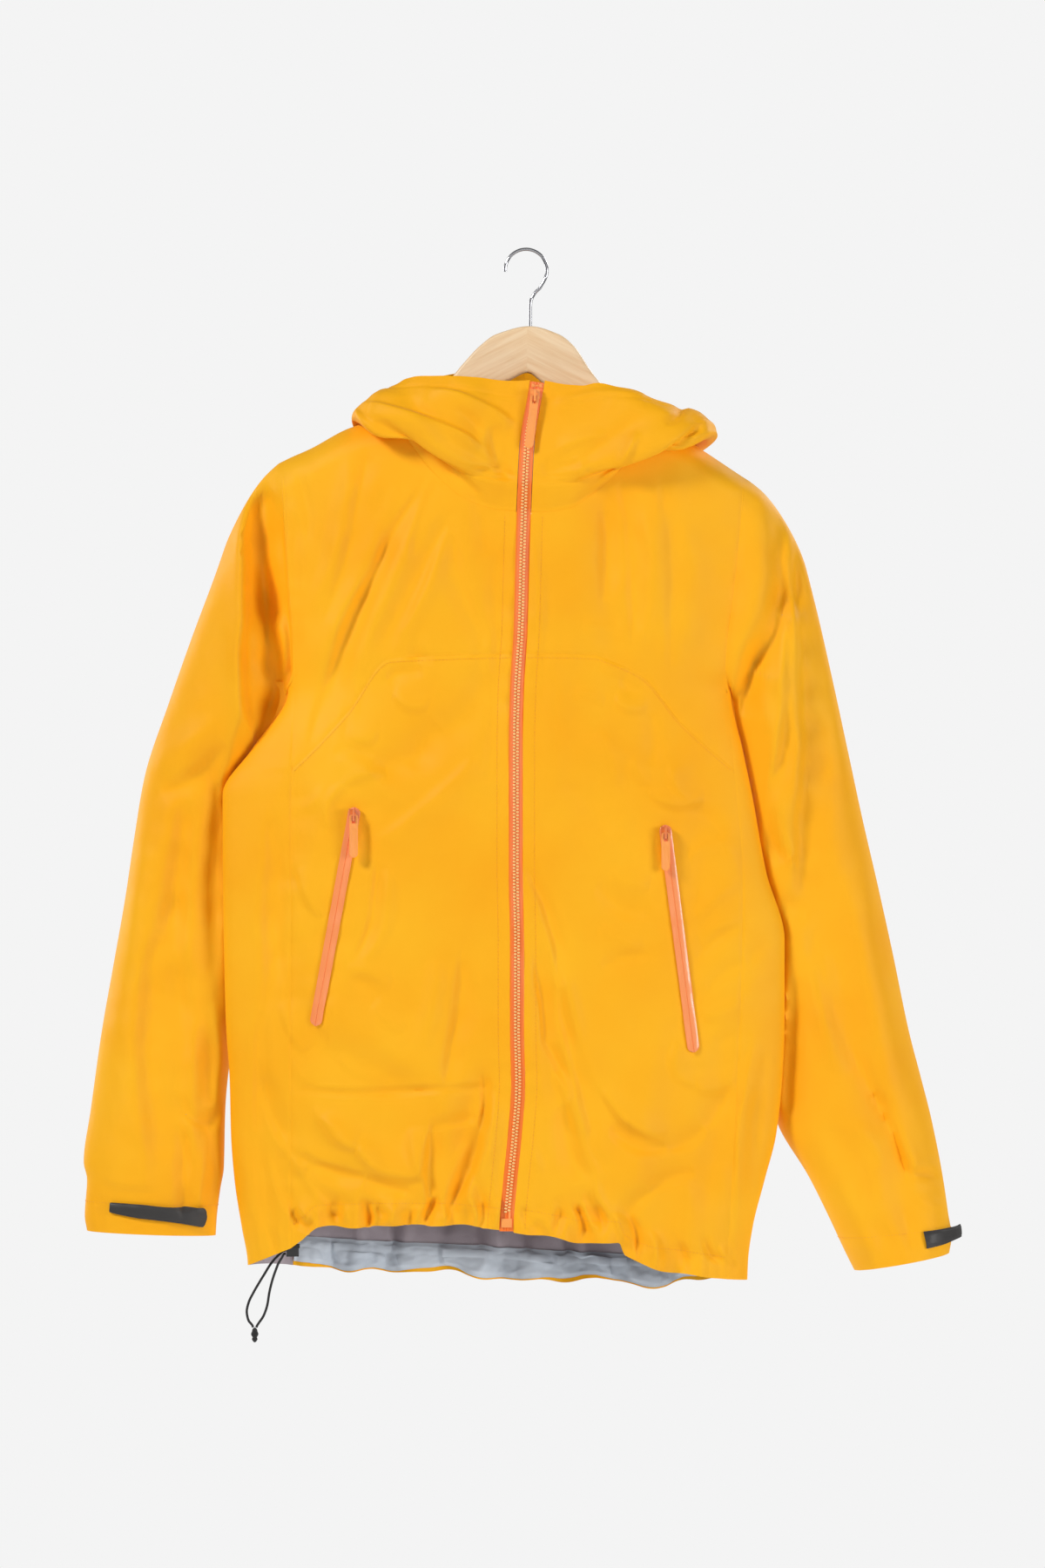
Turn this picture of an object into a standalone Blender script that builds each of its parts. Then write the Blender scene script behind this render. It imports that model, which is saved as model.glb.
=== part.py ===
"""A hooded rain jacket hanging on a wooden hanger.

Every cloth piece is a wall between an outer face and an inner face. The outer faces of the body
pieces all lie on one surface, whose level sections are worked out from the tables below, so that
neighbours meet along their seams with a small gap. Tables are in millimetres: x runs from the
wearer's right (negative) to the wearer's left (positive), drop is the distance below the point
where the hook hangs, and the front of the jacket faces -Y. The wearer's right is side -1.
"""

import math

import bmesh
import bpy
import numpy as np

MM = 0.001

WALL = 1.4          # thickness of the cloth
SEAM = 0.3          # gap between two pieces at a seam
CURVED_SEAM = 0.7   # gap where a seam curves between two grids
RIDGE_ROUND = 26.0  # height over which front and back round over the shoulder
TUCK_GAP = 5.5      # how far a sleeve stays behind the side that it tucks behind
TUCK_SPREAD = 20.0  # how deep the sleeve stays where it is tucked
HOOD_LIFT = 5.0     # how far the hood's folds stay off the shoulders
ZIP_HALF = 6.0      # half the width of the centre front zip
POCKET_ZIP_HALF = 5.2
STEP = 0.02         # parameter step for the surface normals

SLEEVE_COLUMNS = 27  # grid columns round a sleeve
SLEEVE_ROWS = 21
HOOD_ROWS = 11
SLEEVE_CROWDING = 7.0  # degrees by which those columns crowd towards the front and the back
WIDEST_COLUMN = 16.0  # a wider gap between two gathers gets a grid column of its own
FIRST_DROP = 400.0    # where the search for an edge's drop starts, and its number of rounds
SEARCH_ROUNDS = 12

# Level sections of the body. right and left are the x of the side folds, front and back are the
# depths of the two half ellipses, and forward is how far the side fold lies in front of the
# hanger's plane. Above the armpit the side folds are where the section would close if it had
# no sleeve.
SECTIONS = (
    ("drop", "centre", "right", "left", "front", "back", "forward"),
    (110, 8, -240, 236, 40, 34, 0),
    (181, 1, -243, 232, 43, 36, 0),
    (256, -2, -246, 226, 44, 36, 0),
    (330, -4, -228, 204, 43, 36, 0),
    (361, -6, -213, 189, 43, 37, -2),
    (379, -7, -204, 177, 43, 37, -4),
    (429, -8, -235, 187, 43, 38, -8),
    (468, -8, -260, 195, 43, 39, -11),
    (534, -8, -260, 207, 43, 40, -13),
    (593, -7, -259, 223, 43, 41, -12),
    (668, -7, -257, 223, 43, 41, -10),
    (714, -6, -254, 221, 42, 41, -8),
    (760, -9, -253, 216, 41, 40, -6),
    (800, -13, -250, 206, 40, 39, -4),
    (840, -16, -244, 196, 38, 37, -2),
    (870, -16, -239, 192, 37, 36, 0),
    (900, -16, -238, 191, 37, 36, 0),
)

# The line where front and back meet over the shoulder.
RIDGE = (
    ("x", "drop"),
    (-246, 216), (-232, 197), (-208, 181), (-184, 170), (-152, 153), (-115, 142),
    (-60, 128), (0, 122), (60, 130), (118, 151), (150, 170), (188, 195), (209, 208), (229, 231),
)

# The seam that ends each front and back on its outer side: the armhole down to the armpit,
# then the side seam. arm is the armhole's own line, which closes on the side fold.
ARMHOLES = {
    -1: (("drop", "arm", "seam"),
         (181, -208, -208), (270, -203.5, -203.5), (361, -198, -198),
         (372, -200.5, -198), (379, -204, -198), (448, -199.5, -199.5), (900, -201, -201)),
    1: (("drop", "arm", "seam"),
        (195, 187.5, 187.5), (270, 181.5, 181.5), (361, 172, 172),
        (372, 173.8, 172), (379, 177, 172.5), (448, 179, 179), (545, 186, 186), (900, 172, 172)),
}
ARM_TOP = {-1: 181, 1: 195}
ARM_SEAM = 361
ARM_PIT = 379
NECK_X = {-1: -115, 1: 118}

# Edges of the pieces across the front and the back.
NECK_FRONT = (
    ("x", "drop"),
    (-115, 142), (-106, 157), (-94, 174), (-76, 196), (-49, 217), (-24, 225), (0, 227),
    (14, 227), (38, 224), (53, 215), (73, 199), (92, 179), (107, 164), (118, 151),
)
NECK_BACK = (
    ("x", "drop"),
    (-115, 142), (-80, 151), (-40, 158), (0, 160), (40, 160), (80, 157), (118, 151),
)
YOKE_FRONT = (
    ("x", "drop"),
    (-203, 450), (-182, 430), (-152, 398), (-115, 352), (-76, 350), (0, 348), (57, 349),
    (76, 355), (100, 367), (133, 406), (189, 455),
)
YOKE_BACK = (("x", "drop"), (-230, 338), (0, 322), (210, 342))
HEM_FRONT = (
    ("x", "drop"),
    (-245, 876), (-226, 874), (-216, 868), (-205, 860), (-192, 850), (-178, 839), (-150, 837),
    (-119, 836), (-74, 836), (-32, 839), (0, 842), (29, 847), (47, 851), (80, 852), (86, 864),
    (110, 874), (138, 878), (174, 884), (195, 886),
)
HEM_BACK = (
    ("x", "drop"),
    (-245, 876), (-223, 873), (-180, 877), (-110, 882), (-50, 885), (15, 889), (62, 891),
    (119, 893), (147, 886), (174, 885), (195, 886),
)

# Folds: a soft ridge, or a trough where the height is negative, along the line between two ends.
FRONT_FOLDS = (
    ("x1", "drop1", "x2", "drop2", "width", "height"),
    (-141, 215, -172, 345, 13, 4.0),
    (-118, 225, -160, 372, 11, -3.5),
    (-92, 235, -140, 345, 13, 4.0),
    (-70, 245, -118, 330, 12, -3.0),
    (-30, 250, -36, 400, 22, -3.0),
    (-196, 470, -204, 640, 12, -4.0),
    (-228, 730, -228, 820, 12, -5.0),
    (-210, 775, -168, 826, 10, -4.5),
    (-150, 765, -122, 812, 16, 5.0),
    (-190, 678, -118, 715, 12, -3.5),
    (-160, 655, -90, 700, 14, 3.5),
    (-38, 715, -62, 795, 10, -4.0),
    (-70, 730, -84, 800, 14, 3.5),
    (14, 615, 30, 720, 12, -3.5),
    (42, 690, 56, 770, 14, 4.0),
    (150, 500, 150, 640, 16, -3.0),
    (110, 700, 96, 790, 16, 4.0),
    (170, 700, 160, 800, 14, -4.0),
    (70, 225, 74, 330, 14, -3.0),
    (120, 240, 128, 330, 14, 3.0),
    (60, 430, 120, 450, 14, 3.0),
    (-150, 440, -110, 470, 12, 3.0),
)
BACK_FOLDS = (
    ("x1", "drop1", "x2", "drop2", "width", "height"),
    (-150, 350, -190, 470, 16, 4.5),
    (-60, 420, -96, 640, 18, -4.5),
    (-10, 500, -30, 730, 20, 4.0),
    (46, 400, 66, 620, 16, -4.0),
    (130, 350, 168, 480, 16, 4.5),
    (110, 600, 96, 790, 18, 4.5),
    (-150, 620, -140, 800, 18, 4.5),
    (30, 690, 40, 820, 14, -4.0),
)

# Gathers that the drawcord pulls into the hem: the x of each ridge or trough, its reach up from
# the hem, its half width and its height.
FRONT_GATHERS = (
    ("x", "reach", "width", "height"),
    (-182, 70, 9, 4.5), (-163, 48, 9, -5.0), (-146, 55, 8, 4.0), (-130, 40, 8, -4.5),
    (-112, 52, 9, 4.5), (-92, 44, 9, -4.5), (-74, 60, 9, 4.5), (-54, 38, 9, -4.0),
    (-37, 45, 8, 3.0), (14, 50, 9, -4.0), (33, 42, 9, 4.0), (50, 52, 9, -5.0),
    (69, 40, 9, 4.5), (89, 60, 9, -5.0), (109, 48, 9, 4.5), (129, 40, 9, -4.5),
    (150, 46, 9, 4.0),
)
BACK_GATHERS = (
    ("x", "reach", "width", "height"),
    (-190, 50, 9, -4.5), (-168, 62, 9, 4.5), (-146, 44, 9, -4.5), (-122, 56, 10, 4.5),
    (-98, 48, 10, -4.5), (-72, 66, 10, 4.5), (-46, 42, 9, -4.5), (-22, 52, 9, 4.5),
    (4, 60, 10, -4.5), (30, 46, 10, 4.5), (56, 54, 9, -4.5), (80, 44, 9, 4.5),
    (104, 58, 10, -4.5), (130, 48, 10, 4.5), (152, 44, 9, -4.0),
)

# Rings of the sleeves, from just outside the armhole to the wrist: the outer and the inner end
# of each ring as seen from the front, and the y of its middle and half its depth.
SLEEVES = {
    -1: (("outer_x", "outer_drop", "inner_x", "inner_drop", "middle", "depth"),
         (-224, 189, -206, 386, 0, 34),
         (-241, 210, -209, 393, 1, 35),
         (-254, 242, -213, 402, 3, 36),
         (-268, 281, -219, 416, 6, 36),
         (-287, 331, -224, 438, 10, 36),
         (-307, 387, -230, 468, 14, 35),
         (-329, 453, -233, 510, 18, 34),
         (-338, 505, -234, 548, 20, 33),
         (-346, 558, -236, 588, 21, 32),
         (-356, 615, -242, 640, 20, 31),
         (-366, 673, -254, 690, 17, 30),
         (-375, 739, -259, 742, 13, 29),
         (-381, 785, -260, 790, 10, 28),
         (-378, 800, -263, 808, 9, 27),
         (-380, 831, -266, 832, 9, 26),
         (-378, 844, -267, 848, 9, 25)),
    1: (("outer_x", "outer_drop", "inner_x", "inner_drop", "middle", "depth"),
        (209, 208, 178.5, 386, 0, 34),
        (223, 222, 179.5, 394, 1, 35),
        (234, 246, 181, 404, 3, 36),
        (250, 303, 182, 424, 7, 37),
        (265, 367, 179, 456, 12, 38),
        (280, 435, 176, 500, 17, 38),
        (292, 490, 178, 540, 20, 37),
        (305, 546, 183, 582, 21, 36),
        (318, 605, 192, 632, 21, 35),
        (332, 673, 203, 690, 19, 34),
        (342, 712, 210, 722, 17, 34),
        (351, 748, 218, 752, 15, 34),
        (361, 800, 245, 798, 12, 35),
        (365, 828, 262, 832, 11, 35),
        (368, 850, 276, 862, 10, 35),
        (366, 863, 284, 878, 10, 34)),
}
SLEEVE_FOLDS = {
    -1: (("x1", "drop1", "x2", "drop2", "width", "height"),
         (-226, 212, -224, 300, 11, -14.0),
         (-224, 300, -216, 385, 12, -12.0),
         (-243, 230, -245, 430, 11, 5.0),
         (-262, 470, -300, 640, 20, -6.0),
         (-290, 640, -300, 760, 16, -5.0),
         (-330, 520, -345, 760, 22, 4.0),
         (-274, 690, -272, 800, 9, -5.0),
         (-285, 700, -288, 800, 9, 4.0)),
    1: (("x1", "drop1", "x2", "drop2", "width", "height"),
        (222, 232, 220, 300, 11, -11.0),
        (220, 300, 198, 350, 11, -11.0),
        (198, 350, 186, 385, 10, -8.0),
        (236, 320, 240, 470, 13, 5.0),
        (252, 560, 282, 690, 16, -5.0),
        (290, 560, 312, 700, 18, 4.5),
        (300, 730, 330, 840, 12, -5.0)),
}

# The hood, down on the shoulders: angle runs from the centre front (0) to the centre back (180).
# From the neck seam the cloth rises by stand (or hangs by a negative one), folds outwards by
# overhang with its lowest point sag below, and ends at the opening, rise above the seam and
# lean outwards of it.
HOODS = {
    -1: (("angle", "seam_x", "stand", "sag", "overhang", "rise", "lean"),
         (0, -7.6, 30, 0, 5, 112, 3),
         (18, -45, 30, 2, 12, 106, 3),
         (38, -76, 26, 8, 25, 85, 6),
         (62, -100, 14, 8, 42, 54, 8),
         (90, -115, 7, 5, 52, 27, 8),
         (120, -80, -26, 9, 54, 42, 14),
         (150, -40, -84, 14, 55, 58, 20),
         (180, 0, -104, 15, 58, 63, 22)),
    1: (("angle", "seam_x", "stand", "sag", "overhang", "rise", "lean"),
        (0, 5.2, 30, 0, 5, 112, 3),
        (18, 46, 27, 2, 12, 102, 3),
        (38, 74, 18, 8, 28, 77, 6),
        (62, 100, 10, 8, 40, 50, 8),
        (90, 118, 5, 5, 46, 19, 30),
        (120, 82, -26, 9, 54, 34, 18),
        (150, 42, -84, 14, 55, 52, 20),
        (180, 0, -104, 15, 58, 63, 22)),
}

# Slanted pocket zips: the ends of each, as seen from the front.
POCKETS = {
    -1: {"top": (-145, 479), "bottom": (-179, 665)},
    1: {"top": (119, 494), "bottom": (144, 688)},
}
POCKET_PULL = {-1: 37.0, 1: 33.0}
FRONT_PULL = 46.0

# The wrist tabs, in the sleeve's own directions: the angles round the ring where the tab starts
# and ends, and its upper and lower edge there as shares of the sleeve's length.
TABS = {
    -1: (("angle", "upper", "lower", "proud"),
         (54, 0.955, 0.968, 1.0), (75, 0.956, 0.974, 1.0),
         (110, 0.960, 0.981, 1.2), (147, 0.960, 0.990, 1.4)),
    1: (("angle", "upper", "lower", "proud"),
        (-14, 0.957, 0.975, 10.0), (12, 0.957, 0.977, 4.0),
        (35, 0.957, 0.981, 0.5), (62, 0.958, 0.983, 0.35)),
}

# The hanger: the upper and the lower edge of its outline, from one tip to the other.
HANGER_THICK = 11.0
HANGER_UPPER = (
    ("x", "drop"),
    (-223, 199), (-208, 187), (-184, 174), (-152, 157), (-115, 146), (-66, 112), (-54, 98),
    (-39, 82), (-25, 72), (4, 65), (29, 72), (42, 82), (57, 104), (72, 122), (114, 154), (150, 174),
    (188, 200), (199, 211), (205, 219),
)
HANGER_LOWER = (
    ("x", "drop"),
    (205, 222), (198, 224), (150, 198), (110, 168), (60, 134), (17, 115), (2, 105),
    (-14, 112), (-60, 130), (-110, 162), (-152, 183), (-208, 207), (-223, 204),
)

HOOK_WIRE = 1.4     # radius of the hook's wire
HOOK_RADIUS = 18.0  # radius of its bend, to the middle of the wire
HOOK_X = 0.8
SHANK_X = 4.5
SHANK_DEPTH = 14.0
CROWN_DROP = 65.0

CORD_RADIUS = 1.1
CORD_ROUTES = {
    "hem_cord_rear": ((-205.4, -13.6, -859.2), (-206.9, -13.4, -859.4), (-210.5, -10.5, -862.5),
                      (-215.5, -8.2, -867.5), (-220.0, -7.4, -873.4), (-224.0, -7.6, -880.0),
                      (-228.6, -8.2, -887.5), (-233.5, -9.0, -896.0), (-237.6, -9.8, -904.5),
                      (-239.2, -10.4, -912.0), (-237.8, -10.8, -919.5), (-234.2, -10.9, -924.2),
                      (-233.7, -10.9, -925.7)),
    "hem_cord_front": ((-205.4, -16.2, -861.9), (-206.8, -16.1, -862.1),
                       (-208.8, -15.4, -865.5), (-211.6, -14.2, -870.0),
                       (-214.4, -13.0, -877.0), (-217.4, -12.0, -886.0), (-219.8, -11.4, -896.0),
                       (-221.4, -11.1, -906.0), (-224.6, -11.0, -915.5), (-230.3, -10.9, -924.2),
                       (-231.0, -10.9, -925.7)),
}
KNOT_AT = (-232.3, -10.9, -932.2)
KNOT_SIZE = (3.0, 2.6, 6.4)
LOCK_AT = (-199.5, -15.0, -859.0)
LOCK_SIZE = (10.5, 7.0, 10.5)

YELLOW = (1.0, 0.46, 0.02)
ORANGE = (1.0, 0.25, 0.06)
PALE_ORANGE = (1.0, 0.40, 0.10)
CHARCOAL = (0.03, 0.028, 0.027)
BLACK = (0.012, 0.012, 0.012)
TAPE_GREY = (0.40, 0.44, 0.48)
BEECH = (0.84, 0.60, 0.35)
CHROME = (0.80, 0.80, 0.80)


def flow(at, knots, values):
    """A smooth line through the values at the knots, which never overshoots them."""
    at = np.asarray(at, float)
    knots = np.asarray(knots, float)
    values = np.asarray(values, float)
    gaps = np.diff(knots)
    slopes = np.diff(values) / gaps
    product = slopes[:-1] * slopes[1:]
    total = slopes[:-1] + slopes[1:]
    inner = np.where(product > 0, 2 * product / np.where(total == 0, 1, total), 0)
    tangents = np.concatenate([slopes[:1], inner, slopes[-1:]])
    index = np.clip(np.searchsorted(knots, at) - 1, 0, len(gaps) - 1)
    t = np.clip((at - knots[index]) / gaps[index], 0, 1)
    run = gaps[index]
    return (
        values[index] * (1 + 2 * t) * (1 - t) ** 2
        + run * tangents[index] * t * (1 - t) ** 2
        + values[index + 1] * t * t * (3 - 2 * t)
        + run * tangents[index + 1] * t * t * (t - 1)
    )


def look_up(table, name, at):
    """A column of a table, read smoothly at values of its first column."""
    rows = np.array(table[1:], float)
    return flow(at, rows[:, 0], rows[:, table[0].index(name)])


def line(table, x):
    return look_up(table, "drop", x)


def soft_step(at, start, end):
    t = np.clip((np.asarray(at, float) - start) / (end - start), 0, 1)
    return t * t * (3 - 2 * t)


def fold_height(table, x, drop):
    """The sum of the table's folds, each fading at its sides and its ends."""
    height = np.zeros(np.broadcast(x, drop).shape)
    for x1, drop1, x2, drop2, width, rise in table[1:]:
        run = np.array([x2 - x1, drop2 - drop1], float)
        length = np.hypot(*run)
        run /= length
        along = (x - x1) * run[0] + (drop - drop1) * run[1]
        across = (x - x1) * run[1] - (drop - drop1) * run[0]
        past = np.maximum(np.maximum(-along, along - length), 0)
        height = height + rise * np.exp(-((across / width) ** 2) - (past / (1.6 * width)) ** 2)
    return height


def gather_height(table, hem, x, drop):
    """The drawcord's gathers, strongest at the hem and gone at their reach above it."""
    above = line(hem, x) - drop
    height = np.zeros(np.broadcast(x, drop).shape)
    for middle, reach, width, rise in table[1:]:
        fade = 1 - soft_step(above, 0, reach)
        height = height + rise * fade * np.exp(-(((x - middle) / width) ** 2))
    return height


def side_fold(side, drop):
    return look_up(SECTIONS, "left" if side > 0 else "right", drop)


def body_y(x, drop, face):
    """The y of the body's outer face at x and drop: face is -1 for the front, 1 for the back."""
    centre = look_up(SECTIONS, "centre", drop)
    reach = np.where(x > centre, side_fold(1, drop), side_fold(-1, drop)) - centre
    share = np.clip((x - centre) / reach, 0, 1)
    below = np.clip((drop - line(RIDGE, x)) / RIDGE_ROUND, 0, 1)
    over = np.sqrt(1 - (1 - below) ** 2)
    front = face < 0
    depth = look_up(SECTIONS, "front" if front else "back", drop)
    folds = fold_height(FRONT_FOLDS if front else BACK_FOLDS, x, drop)
    if front:
        folds = folds + gather_height(FRONT_GATHERS, HEM_FRONT, x, drop)
    else:
        folds = folds + gather_height(BACK_GATHERS, HEM_BACK, x, drop)
    folds = folds * (1 - share**6) * over
    bulge = depth * np.sqrt(1 - share**2) * over + folds
    return look_up(SECTIONS, "forward", drop) * share**2 + face * bulge


def body_at(side, turn, drop):
    """A point of the body's outer face: turn runs from 0 at the zip over 90 at the side fold
    to 180 at the centre back, in degrees."""
    centre = look_up(SECTIONS, "centre", drop)
    x = centre + (side_fold(side, drop) - centre) * np.sin(np.radians(turn))
    y = np.where(np.asarray(turn) < 90, body_y(x, drop, -1), body_y(x, drop, 1))
    return np.stack([x, y, np.broadcast_to(-np.asarray(drop, float), x.shape)], -1)


def turn_of(side, x, drop, face):
    """The turn at which the body's section reaches x, on its front or its back."""
    centre = look_up(SECTIONS, "centre", drop)
    share = np.clip((x - centre) / (side_fold(side, drop) - centre), 0, 1)
    front = np.degrees(np.arcsin(share))
    return front if face < 0 else 180 - front


def normals_of(surface, u, v, side, u_step, v_step, v_low):
    """Unit normals of a surface of two parameters, turned outwards. v never goes below v_low."""
    ahead = surface(u + u_step, v)
    behind = surface(u - u_step, v)
    down = surface(u, v + v_step)
    up = surface(u, np.maximum(v - v_step, v_low))
    normal = np.cross(down - up, ahead - behind) * side
    return normal / np.linalg.norm(normal, axis=-1, keepdims=True)


def arm_loop(side, angle):
    """The armhole: angle 0 is the shoulder, 90 the front, 180 the armpit, 270 the back."""
    top = ARM_TOP[side]
    drop = (top + ARM_PIT) / 2 - (ARM_PIT - top) / 2 * np.cos(np.radians(angle))
    x = look_up(ARMHOLES[side], "arm", drop)
    front = np.sin(np.radians(angle)) > 0
    y = np.where(front, body_y(x, drop, -1), body_y(x, drop, 1))
    return np.stack([x, y, -drop], -1)


def sleeve_at(side, angle, share):
    """A point of the sleeve's outer face: angle as in arm_loop, share from 0 at the armhole to
    1 at the wrist."""
    table = SLEEVES[side]
    rows = np.array(table[1:], float)
    outer = rows[:, 0:2]
    inner = rows[:, 2:4]
    runs = np.linalg.norm(np.diff((outer + inner) / 2, axis=0), axis=1)
    knots = np.concatenate([[0], np.cumsum(runs)])
    knots = 0.04 + 0.96 * knots / knots[-1]
    ring = {name: flow(share, knots, rows[:, index]) for index, name in enumerate(table[0])}
    around = np.radians(angle)
    out = (1 + np.cos(around)) / 2
    x = ring["inner_x"] + (ring["outer_x"] - ring["inner_x"]) * out
    drop = ring["inner_drop"] + (ring["outer_drop"] - ring["inner_drop"]) * out
    y = ring["middle"] - ring["depth"] * np.sin(around)
    tube = np.stack([x, y, -drop], -1)
    loop = arm_loop(side, angle)
    loop = loop + np.array([side * CURVED_SEAM, 0, 0])
    blend = soft_step(share, 0, 0.12)[..., None]
    point = loop * (1 - blend) + tube * blend
    facing = np.clip(np.sin(around) * 1.6, 0, 1) * soft_step(share, 0.02, 0.10)
    folds = fold_height(SLEEVE_FOLDS[side], point[..., 0], -point[..., 2])
    behind = fold_height(SLEEVE_FOLDS[side], point[..., 0] + 9, -point[..., 2] - 14)
    facing_back = np.clip(-np.sin(around) * 1.6, 0, 1) * soft_step(share, 0.05, 0.3)
    point[..., 1] += -folds * facing + 0.6 * behind * facing_back
    return clear_of_side(side, point, TUCK_SPREAD * np.clip(-np.sin(around), 0, 1))


def clear_of_side(side, point, spread):
    """Sleeve points beside the body are kept behind its side, as the sleeve tucks in there.
    spread keeps the sleeve's back half clear of its front half."""
    drop = -point[..., 2]
    edge = side_fold(side, drop)
    inside = (edge - point[..., 0]) * side
    forward = look_up(SECTIONS, "forward", drop)
    limit = np.where(inside > 0, body_y(point[..., 0], drop, 1), forward + inside) + TUCK_GAP
    limit = limit + spread
    held = soft_step(drop, ARM_PIT - 3, ARM_PIT + 9)
    pushed = np.maximum(point[..., 1], limit)
    point[..., 1] += (pushed - point[..., 1]) * held
    return point


def clear_of_body(point, gap):
    """Hood points are lifted off the shoulder, or moved out from the front or the back."""
    x = point[..., 0]
    drop = -point[..., 2]
    y = point[..., 1]
    face = np.where(y < 0, -1, 1)
    deep = np.maximum(drop, line(RIDGE, x) + RIDGE_ROUND)
    full = np.where(face < 0, -body_y(x, deep, -1), body_y(x, deep, 1))
    across = np.clip(np.abs(y) / np.maximum(full, 1), 0, 1)
    top = line(RIDGE, x) + RIDGE_ROUND * (1 - np.sqrt(1 - across**2))
    lift = np.clip(drop - (top - gap), 0, None)
    aside = np.clip(full + gap - np.abs(y), 0, None)
    near_centre = (np.abs(x) < NECK_X[1] / 2) & (lift > 0)
    sideways = (aside < lift) | near_centre
    moved = point.copy()
    moved[..., 1] = np.where(sideways, y + face * aside, y)
    moved[..., 2] = np.where(sideways, point[..., 2], point[..., 2] + lift)
    return moved


def hood_at(side, angle, share):
    """A point of the hood: share runs from 0 at the neck seam to 1 at the hood's opening."""
    station = {name: look_up(HOODS[side], name, angle) for name in HOODS[side][0]}
    x = station["seam_x"]
    front = np.asarray(angle) < 90
    drop = np.where(front, line(NECK_FRONT, x), line(NECK_BACK, x))
    y = np.where(front, body_y(x, drop, -1), body_y(x, drop, 1))
    over, stand, sag = station["overhang"], station["stand"], station["sag"]
    rise, lean = station["rise"], station["lean"]
    zero = np.zeros_like(over)
    knots = (0, 0.06, 0.22, 0.38, 0.56, 0.80, 1)
    outs = (zero, zero + 1.0, 0.14 * over, 0.60 * over, over, 0.85 * over + 0.15 * lean, lean)
    ups = (zero, zero + 2.6, 0.60 * stand, stand - sag, stand + 0.12 * (rise - stand),
           0.45 * stand + 0.55 * rise, rise)
    out = profile(share, knots, outs)
    up = profile(share, knots, ups)
    around = np.radians(angle)
    zip_lean = look_up(SECTIONS, "centre", drop - up) - look_up(SECTIONS, "centre", drop)
    zip_lean = (zip_lean + zip_drift(up)) * (1 - soft_step(angle, 0, 60))
    point = np.stack(
        [x + side * out * np.sin(around) + zip_lean, y - out * np.cos(around), -drop + up + CURVED_SEAM],
        -1,
    )
    gap = SEAM + HOOD_LIFT * soft_step(share, 0, 0.08)
    return clear_of_body(point, gap)


def zip_drift(up):
    """Above the neck seam the zip leans on towards the wearer's left."""
    return soft_step(up, 60, 112) * 3.0


def profile(share, knots, values):
    """flow() for values that are arrays themselves, one for each knot."""
    shape = np.broadcast(share, values[0]).shape
    share = np.broadcast_to(share, shape)
    stack = np.stack([np.broadcast_to(value, shape) for value in values], -1)
    flat = stack.reshape(-1, len(knots))
    read = [flow(at, knots, row) for at, row in zip(share.reshape(-1), flat)]
    return np.array(read).reshape(shape)


def material(name, colour, roughness, metallic=0.0):
    made = bpy.data.materials.new(name)
    made.use_nodes = True
    shader = made.node_tree.nodes["Principled BSDF"]
    shader.inputs["Base Color"].default_value = (*colour, 1.0)
    shader.inputs["Roughness"].default_value = roughness
    shader.inputs["Metallic"].default_value = metallic
    made.diffuse_color = (*colour, 1.0)
    return made


def add_mesh(name, points, faces, finish, collection):
    """An object from points in millimetres, its faces turned outwards."""
    mesh = bpy.data.meshes.new(name)
    mesh.from_pydata([tuple(p) for p in np.asarray(points) * MM], [], faces)
    shape = bmesh.new()
    shape.from_mesh(mesh)
    bmesh.ops.recalc_face_normals(shape, faces=shape.faces)
    shape.to_mesh(mesh)
    shape.free()
    mesh.shade_smooth()
    mesh.set_sharp_from_angle(angle=math.radians(50))
    mesh.materials.append(finish)
    made = bpy.data.objects.new(name, mesh)
    collection.objects.link(made)
    return made


def wall_faces(rows, columns, closed):
    """Triangles of an outer and an inner grid and of the rim between them. closed joins the
    last column to the first."""
    size = rows * columns
    across = columns if closed else columns - 1
    faces = []
    for r in range(rows - 1):
        for c in range(across):
            a = r * columns + c
            b = r * columns + (c + 1) % columns
            d = (r + 1) * columns + c
            e = (r + 1) * columns + (c + 1) % columns
            faces += [(a, b, e), (a, e, d)]
            faces += [(size + a, size + e, size + b), (size + a, size + d, size + e)]
    rims = []
    for c in range(across):
        rims.append((c, (c + 1) % columns))
        rims.append(((rows - 1) * columns + (c + 1) % columns, (rows - 1) * columns + c))
    if not closed:
        for r in range(rows - 1):
            rims.append(((r + 1) * columns, r * columns))
            rims.append((r * columns + columns - 1, (r + 1) * columns + columns - 1))
    for a, b in rims:
        faces += [(b, a, size + a), (b, size + a, size + b)]
    return faces


def cloth(name, outer, normals, finish, collection, closed=False, thick=WALL):
    """A cloth piece: a wall of even thickness inside its outer points."""
    inner = outer - normals * thick
    rows, columns = outer.shape[:2]
    points = np.concatenate([outer.reshape(-1, 3), inner.reshape(-1, 3)])
    return add_mesh(name, points, wall_faces(rows, columns, closed), finish, collection)


def body_piece(name, side, turns, drops, finish, collection):
    """A body piece from the turn and the drop of each point of its grid."""
    surface = lambda u, v: body_at(side, u, v)
    low = line(RIDGE, surface(turns, drops)[..., 0])
    normals = normals_of(surface, turns, drops, side, STEP, STEP, np.minimum(low, drops))
    cloth(name, surface(turns, drops), normals, finish, collection)


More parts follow.
